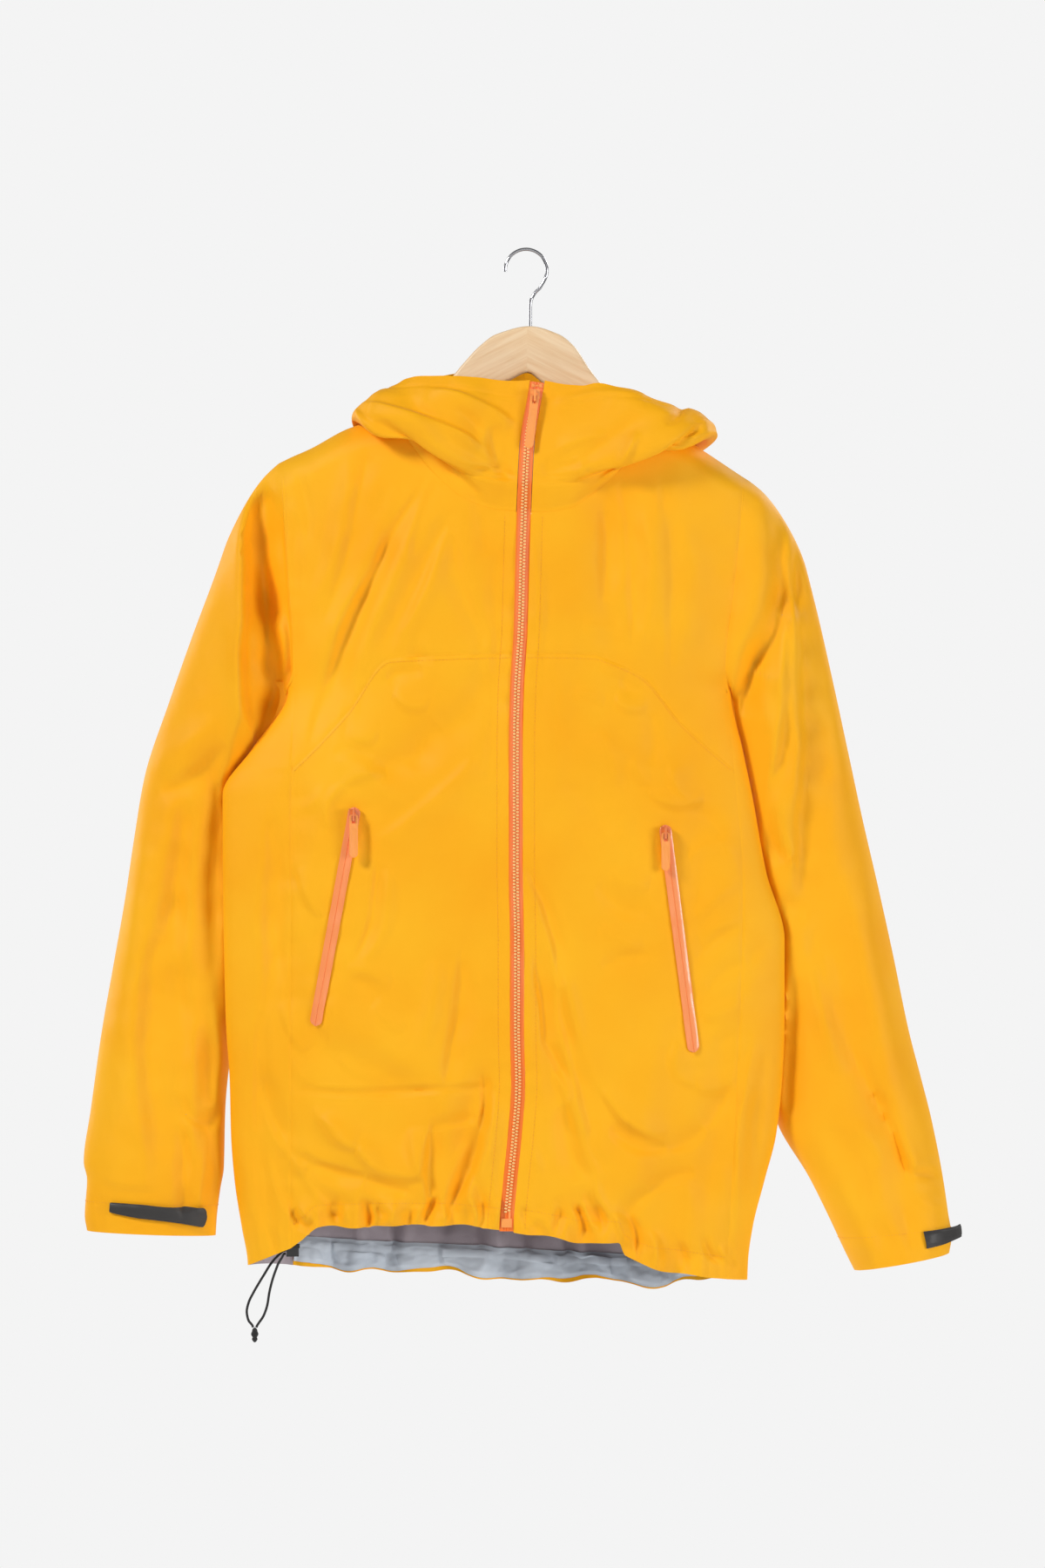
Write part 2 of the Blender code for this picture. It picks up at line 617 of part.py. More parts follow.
def columns_at(gathers, start, end, kept):
    """Shares across a piece: a column at each gather between start and end, one more in a wide
    gap, and the nearest column moved to each kept share."""
    at = sorted((row[0] - start) / (end - start) for row in gathers[1:])
    at = [0.0] + [share for share in at if 0.03 < share < 0.97] + [1.0]
    filled = [at[0]]
    for before, after in zip(at, at[1:]):
        pieces = math.ceil((after - before) * abs(end - start) / WIDEST_COLUMN - 0.3)
        filled += [before + (after - before) * step / pieces for step in range(1, max(pieces, 1) + 1)]
    filled = np.array(filled)
    for share in kept:
        filled[1 + np.argmin(np.abs(filled[1:-1] - share))] = share
    return filled


def across_front(side, share, edge):
    """x and drop along an edge of a front, at a share of the way from the zip to the seam."""
    drop = np.full_like(share, FIRST_DROP)
    for _ in range(SEARCH_ROUNDS):
        start = look_up(SECTIONS, "centre", drop) + side * (ZIP_HALF + SEAM)
        end = look_up(ARMHOLES[side], "seam", drop)
        x = start + (end - start) * share
        drop = edge(x)
    return x, drop


def front_grid(side, share, top, bottom, rows, crowd):
    """Turns and drops of a front piece between two edges. crowd above 1 packs rows to the top."""
    _, high = across_front(side, share, top)
    _, low = across_front(side, share, bottom)
    down = (np.linspace(0, 1, rows) ** crowd)[:, None]
    drop = high + (low - high) * down
    start = look_up(SECTIONS, "centre", drop) + side * (ZIP_HALF + SEAM)
    end = look_up(ARMHOLES[side], "seam", drop)
    x = start + (end - start) * share
    return turn_of(side, x, drop, -1), drop


def over_shoulder(neck, side):
    """The upper edge of a yoke: the neckline, then the shoulder's ridge."""
    def edge(x):
        beyond = (np.asarray(x) - NECK_X[side]) * side > 0
        return np.where(beyond, line(RIDGE, x) + 0.0002, line(neck, x))
    return edge


def front_shares(side):
    """The grid columns of a front, as shares of the way from the zip to its outer seam."""
    ends = across_front(side, np.array([0.0, 1.0]), lambda x: line(HEM_FRONT, x))[0]
    inner = side * (ZIP_HALF + SEAM)
    split = (NECK_X[side] - inner) / (ARMHOLES[side][1][1] - inner)
    return columns_at(FRONT_GATHERS, ends[0], ends[1], [split])


def make_fronts(finish, collection):
    for side, word in ((-1, "right"), (1, "left")):
        share = front_shares(side)
        seam = lambda x: line(YOKE_FRONT, x)
        top = over_shoulder(NECK_FRONT, side)
        turns, drops = front_grid(side, share, top, lambda x: seam(x) - SEAM, 11, 1.5)
        body_piece(f"front_yoke_{word}", side, turns, drops, finish, collection)
        hem = lambda x: line(HEM_FRONT, x)
        turns, drops = front_grid(side, share, seam, hem, 21, 1.0)
        body_piece(f"front_{word}", side, turns, drops, finish, collection)


def make_sides(finish, collection):
    for side, word in ((-1, "right"), (1, "left")):
        loop_drop = np.linspace(ARM_SEAM, ARM_PIT, 60)
        first = turn_of(side, look_up(ARMHOLES[side], "seam", loop_drop), loop_drop, -1)
        reached = turn_of(side, look_up(ARMHOLES[side], "arm", loop_drop), loop_drop, -1)
        loop_share = (reached - first) / (180 - 2 * first)
        share = np.linspace(0, 1, 8)
        top = np.interp(np.minimum(share, 1 - share), loop_share, loop_drop) + 1.5 * CURVED_SEAM
        down = np.linspace(0, 1, 18)[:, None] ** 1.15
        bottom = np.array([side_hem(side, s) for s in share])
        drop = top + (bottom - top) * down
        seam = look_up(ARMHOLES[side], "seam", drop) + side * (CURVED_SEAM + 0.1)
        first = turn_of(side, seam, drop, -1)
        turns = first + (180 - 2 * first) * share
        body_piece(f"side_{word}", side, turns, drop, finish, collection)


def side_hem(side, share):
    """The hem's drop across a side panel, from the front hem to the back hem."""
    x = look_up(ARMHOLES[side], "seam", 870)
    fold = side_fold(side, 870)
    front = line(HEM_FRONT, x) * (1 - share) + line(HEM_BACK, x) * share
    return front + (line(HEM_BACK, fold) - front) * math.sin(math.pi * share) * 0.8


def back_grid(share, top, bottom, rows, crowd):
    """Turns and drops across the whole back. The turn passes 180 on the wearer's right."""
    drop = np.full_like(share, FIRST_DROP)
    ends = []
    for edge in (top, bottom):
        for _ in range(SEARCH_ROUNDS):
            left = look_up(ARMHOLES[1], "seam", drop)
            right = look_up(ARMHOLES[-1], "seam", drop)
            x = left + (right - left) * share
            drop = edge(x)
        ends.append(drop)
    down = (np.linspace(0, 1, rows) ** crowd)[:, None]
    drop = ends[0] + (ends[1] - ends[0]) * down
    left = look_up(ARMHOLES[1], "seam", drop)
    right = look_up(ARMHOLES[-1], "seam", drop)
    return left + (right - left) * share, drop


def back_piece(name, x, drop, finish, collection, offset=0.0, thick=WALL):
    """A piece of the back from the x and the drop of its grid, offset inside the outer face."""
    surface = lambda u, v: np.stack([u, body_y(u, v, 1), -v], -1)
    low = np.minimum(line(RIDGE, x) + 0.0001, drop)
    normals = normals_of(surface, x, drop, -1, STEP, STEP, low)
    cloth(name, surface(x, drop) - normals * offset, normals, finish, collection, thick=thick)


def back_shares():
    """The grid columns of the back, as shares of the way from its left seam to its right one."""
    start, end = (ARMHOLES[side][1][1] for side in (1, -1))
    kept = [(NECK_X[side] - start) / (end - start) for side in (1, -1)]
    hem_start, hem_end = (float(look_up(ARMHOLES[side], "seam", 880)) for side in (1, -1))
    return columns_at(BACK_GATHERS, hem_start, hem_end, kept)


def back_top(x):
    """The upper edge of the back yoke: the neckline between the two shoulders' ridges."""
    between = (x > NECK_X[-1]) & (x < NECK_X[1])
    return np.where(between, line(NECK_BACK, x), line(RIDGE, x) + 0.0002)


def hood_angles(side):
    """The hood's grid columns, which meet the columns of the yokes along the neck seam."""
    front, _ = across_front(side, front_shares(side), over_shoulder(NECK_FRONT, side))
    back = back_grid(back_shares(), back_top, lambda x: line(YOKE_BACK, x), 2, 1.0)[0][0]
    angles = np.linspace(0, 90, 400), np.linspace(90, 180, 400)
    found = [0.0]
    for seam, reach in ((front, angles[0]), (back, angles[1])):
        inside = seam[(seam * side > 9) & (seam * side < abs(NECK_X[side]) - 1)] * side
        at = look_up(HOODS[side], "seam_x", reach) * side
        order = np.argsort(at)
        found += list(np.interp(inside, at[order], reach[order]))
    return np.array(sorted(found + [90.0, 180 - 0.2]))


def make_back(finish, collection):
    share = back_shares()
    seam = lambda x: line(YOKE_BACK, x)
    x, drop = back_grid(share, back_top, lambda x: seam(x) - SEAM, 9, 1.6)
    back_piece("back_yoke", x, drop, finish, collection)
    x, drop = back_grid(share, seam, lambda x: line(HEM_BACK, x), 21, 1.0)
    back_piece("back_panel", x, drop, finish, collection)
    return x[-2:], drop[-2:]


def make_hem_tape(hem, finish, collection):
    """A strip inside the back hem, made from the last two rows of the back's own points."""
    x, drop = hem
    back_piece("hem_tape", x[:, 1:-1], drop[:, 1:-1], finish, collection, offset=WALL + 0.4, thick=1.0)


def make_sleeves(finish, collection):
    for side, word in ((-1, "right"), (1, "left")):
        angle = np.linspace(0, 360, SLEEVE_COLUMNS + 1)[:-1]
        angle = angle - SLEEVE_CROWDING * np.sin(2 * np.radians(angle))
        share = (np.linspace(0, 1, SLEEVE_ROWS) ** 1.12)[:, None]
        angle = np.broadcast_to(angle, (SLEEVE_ROWS, SLEEVE_COLUMNS))
        share = np.broadcast_to(share, angle.shape)
        surface = lambda u, v: sleeve_at(side, u, v)
        normals = normals_of(surface, angle, share, -side, 0.5, 0.002, 0.0)
        cloth(f"sleeve_{word}", surface(angle, share), normals, finish, collection, closed=True)


def make_tabs(finish, collection):
    for side, word in ((-1, "right"), (1, "left")):
        first, last = TABS[side][1][0], TABS[side][-1][0]
        angle = np.linspace(first, last, 9)
        upper = look_up(TABS[side], "upper", angle)
        lower = look_up(TABS[side], "lower", angle)
        proud = look_up(TABS[side], "proud", angle)
        across = np.linspace(0, 1, 4)[:, None]
        share = upper + (lower - upper) * across
        angle = np.broadcast_to(angle, share.shape)
        surface = lambda u, v: sleeve_at(side, u, v)
        normals = normals_of(surface, angle, share, -side, 0.5, 0.002, 0.0)
        outer = surface(angle, share) + normals * (proud[:, None] + 1.5)
        cloth(f"cuff_tab_{word}", outer, normals, finish, collection, thick=1.5)


def make_hood(finish, collection):
    for side, word in ((-1, "right"), (1, "left")):
        angle = hood_angles(side)
        share = np.concatenate([[0, 0.06], np.linspace(0.14, 1, HOOD_ROWS - 2)])[:, None]
        angle = np.broadcast_to(angle, (HOOD_ROWS, len(angle)))
        share = np.broadcast_to(share, angle.shape)
        surface = lambda u, v: hood_at(side, u, v)
        normals = normals_of(surface, angle, share, -side, 0.2, 0.004, 0.0)
        cloth(f"hood_{word}", surface(angle, share), normals, finish, collection)


def ribbon(name, points, outs, half, thick, teeth, finish, collection, below=0.0):
    """A zip along a line of points: a flat tape with a raised band of teeth in its middle."""
    points = np.asarray(points, float)
    outs = np.asarray(outs, float)
    run = np.gradient(points, axis=0)
    run /= np.linalg.norm(run, axis=1, keepdims=True)
    wide = np.cross(run, outs)
    wide /= np.linalg.norm(wide, axis=1, keepdims=True)
    out = np.cross(wide, run)
    shares = np.array([-1, -0.42, 0, 0.42, 1])
    raised = np.array([0, 0, teeth, 0, 0])
    outer = points[:, None] + wide[:, None] * (shares * half)[:, None] + out[:, None] * raised[:, None]
    inner = points[:, None] + wide[:, None] * (shares * half)[:, None] - out[:, None] * thick
    outer, inner = (grid + out[:, None] * below for grid in (outer, inner))
    faces = wall_faces(len(points), len(shares), False)
    both = np.concatenate([outer.reshape(-1, 3), inner.reshape(-1, 3)])
    return add_mesh(name, both, faces, finish, collection)


def front_zip_line(drops):
    """Points of the centre front line, on the body or, above the neck, on the hood's front."""
    neck = float(line(NECK_FRONT, 0.0))
    points = []
    for drop in drops:
        if drop >= neck:
            x = float(look_up(SECTIONS, "centre", drop))
            points.append((x, float(body_y(np.array(x), np.array(drop), -1)), -drop))
            continue
        shares = np.linspace(0, 1, 60)
        left, right = (hood_at(side, np.zeros(60), shares) for side in (1, -1))
        middle = (left + right) / 2
        x = np.interp(-drop, middle[:, 2], middle[:, 0])
        y = np.interp(-drop, middle[:, 2], middle[:, 1])
        points.append((x, y, -drop))
    return np.array(points)


def pocket_line(side, start, end, count):
    """Points along a pocket zip on the front's surface, with the surface's normals."""
    top, bottom = POCKETS[side]["top"], POCKETS[side]["bottom"]
    share = np.linspace(start, end, count)
    x = top[0] + (bottom[0] - top[0]) * share
    drop = top[1] + (bottom[1] - top[1]) * share
    surface = lambda u, v: np.stack([u, body_y(u, v, -1), -v], -1)
    normals = normals_of(surface, x, drop, 1, 4.0, 4.0, 0.0)
    return surface(x, drop), normals


def add_box(shape, middle, size, bevel):
    """A box with rounded edges, added to a bmesh, in millimetres."""
    made = bmesh.ops.create_cube(shape, size=1.0)
    corners = made["verts"]
    bmesh.ops.scale(shape, vec=size, verts=corners)
    bmesh.ops.translate(shape, vec=middle, verts=corners)
    if bevel:
        edges = list({edge for corner in corners for edge in corner.link_edges})
        bmesh.ops.bevel(shape, geom=edges, offset=bevel, segments=1, affect="EDGES", profile=0.5)


def finish_shape(name, shape, at, finish, collection):
    """An object from a bmesh in millimetres, with its origin at a point in millimetres."""
    bmesh.ops.scale(shape, vec=(MM, MM, MM), verts=shape.verts)
    bmesh.ops.recalc_face_normals(shape, faces=shape.faces)
    mesh = bpy.data.meshes.new(name)
    shape.to_mesh(mesh)
    shape.free()
    mesh.materials.append(finish)
    made = bpy.data.objects.new(name, mesh)
    made.location = [value * MM for value in at]
    collection.objects.link(made)
    return made


def make_slider(name, at, finish, collection):
    """A zip slider: its plate, and the bridge that the pull tab hangs on. at is the pull's pin."""
    shape = bmesh.new()
    add_box(shape, (0, 3.1, 0), (8.4, 3.0, 11.0), 0.8)
    body = finish_shape(name, shape, at, finish, collection)
    for middle, size in (((0, 0.2, 4.4), (1.8, 5.4, 1.4)), ((0, -1.9, 0), (1.8, 1.2, 10.2)),
                         ((0, 0.2, -4.4), (1.8, 5.4, 1.4))):
        bar = bmesh.new()
        add_box(bar, middle, size, 0)
        cutter = finish_shape(f"{name}_bar", bar, at, finish, cutters())
        join(body, cutter, "UNION")
    return body


def cutters():
    """The collection of helper shapes, which aren't rendered."""
    if "helpers" not in bpy.data.collections:
        made = bpy.data.collections.new("helpers")
        bpy.context.scene.collection.children.link(made)
    return bpy.data.collections["helpers"]


def join(body, tool, operation):
    """A Boolean of a helper shape on a piece."""
    tool.hide_render = True
    tool.display_type = "WIRE"
    change = body.modifiers.new(tool.name, "BOOLEAN")
    change.operation = operation
    change.object = tool
    change.solver = "EXACT"


def make_pull(name, at, length, finish, collection):
    """A pull tab: a plate whose eye goes round the slider's bridge. Its origin is its pin."""
    shape = bmesh.new()
    add_box(shape, (0, 0, 0.8 - length / 2), (7.4, 1.5, length), 0.5)
    plate = finish_shape(name, shape, at, finish, collection)
    hole = bmesh.new()
    add_box(hole, (0, 0, -3.9), (3.2, 6.0, 6.4), 0)
    join(plate, finish_shape(f"{name}_eye", hole, at, finish, cutters()), "DIFFERENCE")
    return plate


def make_zips(tape, metal, collection):
    hem_end = float(line(HEM_FRONT, -16.0)) + 0.5
    drops = np.concatenate([np.linspace(116.5, 222, 10), np.linspace(232, hem_end, 25)])
    points = front_zip_line(drops)
    outs = np.tile((0.0, -1.0, 0.0), (len(points), 1))
    ribbon("front_zip", points, outs, ZIP_HALF, WALL, 0.9, tape, collection)
    pin = points[1] + np.array([0, -5.9, 0])
    make_slider("front_zip_slider", pin, metal, collection)
    make_pull("front_zip_pull", pin, FRONT_PULL, metal, collection)
    for side, word in ((-1, "right"), (1, "left")):
        points, normals = pocket_line(side, 0, 1, 12)
        ribbon(f"pocket_zip_{word}", points, normals, POCKET_ZIP_HALF, 1.0, 0.8, tape, collection,
               below=1.6)
        points, normals = pocket_line(side, 0.035, 0.09, 2)
        pin = points[0] + np.array([0, -7.5, 0])
        make_slider(f"pocket_slider_{word}", pin, metal, collection)
        make_pull(f"pocket_pull_{word}", pin, POCKET_PULL[side], metal, collection)


def make_hanger(wood, chrome, collection):
    """The hanger's flat outline with rounded edges and a bore for the hook, and the hook."""
    upper = np.array(HANGER_UPPER[1:], float)
    lower = np.array(HANGER_LOWER[1:], float)
    outline = np.concatenate([upper, lower])
    shape = bmesh.new()
    corners = [shape.verts.new((x, HANGER_THICK / 2, -drop)) for x, drop in outline]
    shape.faces.new(corners)
    slab = bmesh.ops.extrude_face_region(shape, geom=shape.faces[:])
    moved = [item for item in slab["geom"] if isinstance(item, bmesh.types.BMVert)]
    bmesh.ops.translate(shape, vec=(0, -HANGER_THICK, 0), verts=moved)
    body = finish_shape("hanger_body", shape, (0, 0, 0), wood, collection)
    rounding = body.modifiers.new("rounding", "BEVEL")
    rounding.width = 2.6 * MM
    rounding.segments = 2
    rounding.limit_method = "ANGLE"
    rounding.angle_limit = math.radians(60)
    bore = bmesh.new()
    bmesh.ops.create_cone(bore, cap_ends=True, segments=16, radius1=HOOK_WIRE + 0.3,
                          radius2=HOOK_WIRE + 0.3, depth=2 * SHANK_DEPTH)
    tool = finish_shape("hook_bore", bore, (SHANK_X, 0, -CROWN_DROP), wood, cutters())
    join(body, tool, "DIFFERENCE")
    drop = HOOK_RADIUS - HOOK_WIRE
    bend = [math.radians(184 - 12.0 * step) for step in range(19)]
    route = [(HOOK_X + HOOK_RADIUS * math.cos(a), 0, -drop + HOOK_RADIUS * math.sin(a)) for a in bend]
    route += [(12.5, 0, -32.5), (7.6, 0, -37.5), (5.2, 0, -42.5), (SHANK_X, 0, -48.0)]
    route += [(SHANK_X, 0, -57.0), (SHANK_X, 0, 0.3 - CROWN_DROP - SHANK_DEPTH + 1)]
    wire("hanger_hook", route, HOOK_WIRE, chrome, collection)


def wire(name, route, radius, finish, collection):
    """A round wire or cord along straight steps between close points, in millimetres."""
    curve = bpy.data.curves.new(name, "CURVE")
    curve.dimensions = "3D"
    curve.bevel_depth = radius * MM
    curve.bevel_resolution = 2
    curve.use_fill_caps = True
    spline = curve.splines.new("POLY")
    spline.points.add(len(route) - 1)
    for point, place in zip(spline.points, route):
        point.co = (*[value * MM for value in place], 1.0)
    curve.materials.append(finish)
    made = bpy.data.objects.new(name, curve)
    collection.objects.link(made)
    return made


def smooth_route(points, count):
    """Points evenly spread along a smooth curve through a route's own points."""
    points = np.array(points, float)
    run = np.concatenate([[0], np.cumsum(np.linalg.norm(np.diff(points, axis=0), axis=1))])
    at = np.linspace(0, run[-1], count)
    return np.stack([flow(at, run, points[:, axis]) for axis in range(3)], -1)


def make_drawcord(cord, plastic, collection):
    for name, route in CORD_ROUTES.items():
        wire(name, smooth_route(route, 16), CORD_RADIUS, cord, collection)
    lock = bmesh.new()
    add_box(lock, (0, 0, 0), LOCK_SIZE, 1.2)
    finish_shape("cord_lock", lock, LOCK_AT, plastic, collection)
    knot = bmesh.new()
    bmesh.ops.create_uvsphere(knot, u_segments=12, v_segments=8, radius=1.0)
    bmesh.ops.scale(knot, vec=KNOT_SIZE, verts=knot.verts)
    finish_shape("cord_knot", knot, KNOT_AT, cord, collection)


def main():
    for old in list(bpy.data.objects):
        bpy.data.objects.remove(old)
    jacket = bpy.data.collections.new("rain_jacket")
    bpy.context.scene.collection.children.link(jacket)
    shell = material("yellow_shell", YELLOW, 0.62)
    make_fronts(shell, jacket)
    make_sides(shell, jacket)
    back_hem = make_back(shell, jacket)
    make_sleeves(shell, jacket)
    make_hood(shell, jacket)
    make_tabs(material("charcoal_tab", CHARCOAL, 0.6), jacket)
    make_hem_tape(back_hem, material("grey_tape", TAPE_GREY, 0.55), jacket)
    tape = material("orange_zip", ORANGE, 0.3)
    make_zips(tape, material("pale_orange_pull", PALE_ORANGE, 0.35), jacket)
    make_drawcord(material("black_cord", BLACK, 0.7), material("black_plastic", BLACK, 0.4), jacket)
    make_hanger(material("beech", BEECH, 0.5), material("chrome", CHROME, 0.15, 1.0), jacket)


main()
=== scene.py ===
import math

import bmesh
import bpy
import numpy as np
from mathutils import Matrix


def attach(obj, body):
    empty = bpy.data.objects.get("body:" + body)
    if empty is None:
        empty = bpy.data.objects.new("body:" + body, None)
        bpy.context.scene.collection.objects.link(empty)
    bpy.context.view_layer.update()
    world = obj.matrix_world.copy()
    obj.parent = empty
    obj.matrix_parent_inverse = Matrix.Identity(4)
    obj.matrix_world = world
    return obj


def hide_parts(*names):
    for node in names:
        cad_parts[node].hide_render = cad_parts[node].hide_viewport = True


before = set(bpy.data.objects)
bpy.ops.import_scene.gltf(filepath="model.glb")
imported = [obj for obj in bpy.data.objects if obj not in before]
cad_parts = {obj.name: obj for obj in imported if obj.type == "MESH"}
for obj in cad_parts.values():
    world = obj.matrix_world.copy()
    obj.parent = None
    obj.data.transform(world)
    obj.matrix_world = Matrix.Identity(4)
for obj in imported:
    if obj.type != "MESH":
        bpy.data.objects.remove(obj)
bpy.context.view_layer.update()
mm = 0.001
fine = 1.0  # share of the full number of grid lines
sides = ((-1, "right"), (1, "left"))  # the wearer's right and left
print("frame loaded")


def linked(name, data):
    made = bpy.data.objects.new(name, data)
    bpy.context.scene.collection.objects.link(made)
    return made


# Camera: the photograph's frame, straight on. hook is the pixel where the hook bears.
photoView = {"wide": 1200, "tall": 1800, "pixel": 0.00075, "hook": (603, 288), "lens": 120.0, "film": 36.0}


def addCamera(view):
    data = bpy.data.cameras.new("photoView")
    data.lens = view["lens"]
    data.sensor_width = view["film"]
    camera = linked("photoView", data)
    camera.location = (
        (view["wide"] / 2 - view["hook"][0]) * view["pixel"],
        -view["tall"] * view["pixel"] * view["lens"] / view["film"],
        (view["hook"][1] - view["tall"] / 2) * view["pixel"],
    )
    camera.rotation_euler = (math.radians(90), 0, 0)
    bpy.context.scene.camera = camera


addCamera(photoView)


# Finishes
def linear(colour):  # a colour as a screen shows it, 0 to 255, as light
    values = [value / 255 for value in colour]
    return [*(value / 12.92 if value <= 0.04045 else ((value + 0.055) / 1.055) ** 2.4 for value in values), 1]


def addNode(tree, kind, links=None, **settings):
    node = tree.nodes.new(kind)
    for name, value in settings.items():
        setattr(node, name, value)
    for socket, source in (links or {}).items():
        if isinstance(source, bpy.types.NodeSocket):
            tree.links.new(source, node.inputs[socket])
        else:
            node.inputs[socket].default_value = source
    return node


def newFinish(name, colour, roughness, **settings):
    finish = bpy.data.materials.new(name)
    finish.use_nodes = True
    tree = finish.node_tree
    shader = tree.nodes["Principled BSDF"]
    shader.inputs["Base Color"].default_value = linear(colour)
    shader.inputs["Roughness"].default_value = roughness
    for socket, value in settings.items():
        shader.inputs[socket.replace("_", " ")].default_value = value
    return finish, tree, shader, addNode(tree, "ShaderNodeTexCoord").outputs["Object"]


def noiseOn(tree, vector, scale, detail=3.0, roughness=0.5):
    links = {"Vector": vector, "Scale": scale, "Detail": detail, "Roughness": roughness}
    return addNode(tree, "ShaderNodeTexNoise", links).outputs["Fac"]


def calculate(tree, operation, first, second=0.0):
    return addNode(tree, "ShaderNodeMath", {0: first, 1: second}, operation=operation).outputs[0]


def waveOf(tree, value, length):
    return calculate(tree, "SINE", calculate(tree, "MULTIPLY", value, 2 * math.pi / length))


def paint(tree, shader, share, first, second, start=0.0, end=1.0):
    ramp = addNode(tree, "ShaderNodeValToRGB", {"Fac": share})
    for element, colour, at in zip(ramp.color_ramp.elements, (first, second), (start, end)):
        element.color = linear(colour)
        element.position = at
    tree.links.new(ramp.outputs["Color"], shader.inputs["Base Color"])


def roughen(tree, shader, place, scale, low, high):
    links = {"Value": noiseOn(tree, place, scale), "To Min": low, "To Max": high}
    rough = addNode(tree, "ShaderNodeMapRange", links)
    tree.links.new(rough.outputs["Result"], shader.inputs["Roughness"])


def bumpOn(tree, shader, height, strength, distance, before=None):
    links = {"Height": height, "Strength": strength, "Distance": distance}
    if before is not None:
        links["Normal"] = before
    bump = addNode(tree, "ShaderNodeBump", links).outputs["Normal"]
    tree.links.new(bump, shader.inputs["Normal"])
    return bump


shellLook = {
    # inside: the shell's yellow made darker for the hood's inner face, painted shade
    "light": (255, 185, 18), "dark": (253, 173, 3), "inside": (240, 168, 12), "lining": (190, 176, 182),
    "shine": 0.26,         # specular level of all the cloth
    "patches": 9.0,        # noise scale of the change between light and dark
    "thread": 0.00045,     # width of a thread, in metres
    "weave": 0.16,         # strength of the weave's bump
    "crumple": 55.0,       # noise scale of the small crumples
    "rumple": 17.0,        # noise scale and depth of the broad ones
    "rumpleDepth": 0.006,
}


def wovenFinish(name, light, dark, roughness, look, sheen=0.03, crumpleDepth=0.0014):
    finish, tree, shader, place = newFinish(name, light, roughness, Sheen_Weight=sheen, Sheen_Roughness=0.45,
                                            Specular_IOR_Level=look["shine"])
    paint(tree, shader, noiseOn(tree, place, look["patches"], 4.0), dark, light, 0.3, 0.7)
    cloth = addNode(tree, "ShaderNodeUVMap", uv_map="cloth").outputs["UV"]
    parts = addNode(tree, "ShaderNodeSeparateXYZ", {"Vector": cloth}).outputs
    weave = calculate(tree, "MULTIPLY", *(waveOf(tree, parts[axis], look["thread"]) for axis in ("X", "Y")))
    bump = bumpOn(tree, shader, weave, look["weave"], 0.0001)
    bump = bumpOn(tree, shader, noiseOn(tree, place, look["crumple"], 5.0, 0.6), 0.25, crumpleDepth, bump)
    bumpOn(tree, shader, noiseOn(tree, place, look["rumple"], 2.0, 0.4), 0.3, look["rumpleDepth"], bump)
    roughen(tree, shader, place, 30.0, roughness - 0.06, roughness + 0.08)
    return finish


def glossyFinish(name, light, dark, roughness, ribs=0.0, coat=0.3):  # ribs: their distance, 0 for none
    finish, tree, shader, place = newFinish(name, light, roughness, Coat_Weight=coat, Coat_Roughness=0.15)
    paint(tree, shader, noiseOn(tree, place, 24.0), dark, light)
    bump = bumpOn(tree, shader, noiseOn(tree, place, 420.0, 4.0), 0.12, 0.0002)
    if ribs:
        height = addNode(tree, "ShaderNodeSeparateXYZ", {"Vector": place}).outputs["Z"]
        bumpOn(tree, shader, waveOf(tree, height, ribs), 0.2, 0.0001, bump)
    return finish


# joint: the x where the two halves meet. slope: of the grain. across, along, through: noise scales.
woodLook = {"pale": (250, 221, 181), "grain": (238, 200, 152), "joint": 0.0018, "slope": 0.50,
            "across": 260.0, "along": 14.0, "through": 120.0, "shift": 7.0}


def woodFinish(name, look):  # two halves whose grain runs along each arm
    finish, tree, shader, place = newFinish(name, look["pale"], 0.42, Coat_Weight=0.25, Coat_Roughness=0.3)

    def scaled(value, factor):
        return calculate(tree, "MULTIPLY", value, factor)

    x, y, z = addNode(tree, "ShaderNodeSeparateXYZ", {"Vector": place}).outputs
    out = calculate(tree, "ABSOLUTE", calculate(tree, "SUBTRACT", x, look["joint"]))
    turn = math.atan(look["slope"])
    across = calculate(tree, "ADD", scaled(out, math.sin(turn)), scaled(z, math.cos(turn)))
    along = calculate(tree, "SUBTRACT", scaled(out, math.cos(turn)), scaled(z, math.sin(turn)))
    half = scaled(calculate(tree, "GREATER_THAN", x, look["joint"]), look["shift"])
    grain = addNode(tree, "ShaderNodeCombineXYZ", {
        "X": calculate(tree, "ADD", scaled(across, look["across"]), half),
        "Y": scaled(along, look["along"]), "Z": scaled(y, look["through"])})
    lines = noiseOn(tree, grain.outputs[0], 1.0, 6.0, 0.65)
    paint(tree, shader, lines, look["grain"], look["pale"], 0.34, 0.62)
    bumpOn(tree, shader, lines, 0.12, 0.0003)
    return finish


def metalFinish(name, colour):
    finish, tree, shader, place = newFinish(name, colour, 0.12, Metallic=1.0)
    roughen(tree, shader, place, 160.0, 0.08, 0.22)
    bumpOn(tree, shader, noiseOn(tree, place, 900.0), 0.03, 0.0001)
    return finish


def braidFinish(name, colour, pitch):
    finish, tree, shader, place = newFinish(name, colour, 0.8, Sheen_Weight=0.3)
    parts = addNode(tree, "ShaderNodeSeparateXYZ", {"Vector": place}).outputs
    strands = [waveOf(tree, calculate(tree, operation, parts["Z"], parts["X"]), pitch)
               for operation in ("ADD", "SUBTRACT")]
    bumpOn(tree, shader, calculate(tree, "MULTIPLY", *strands), 0.6, 0.0003)
    return finish


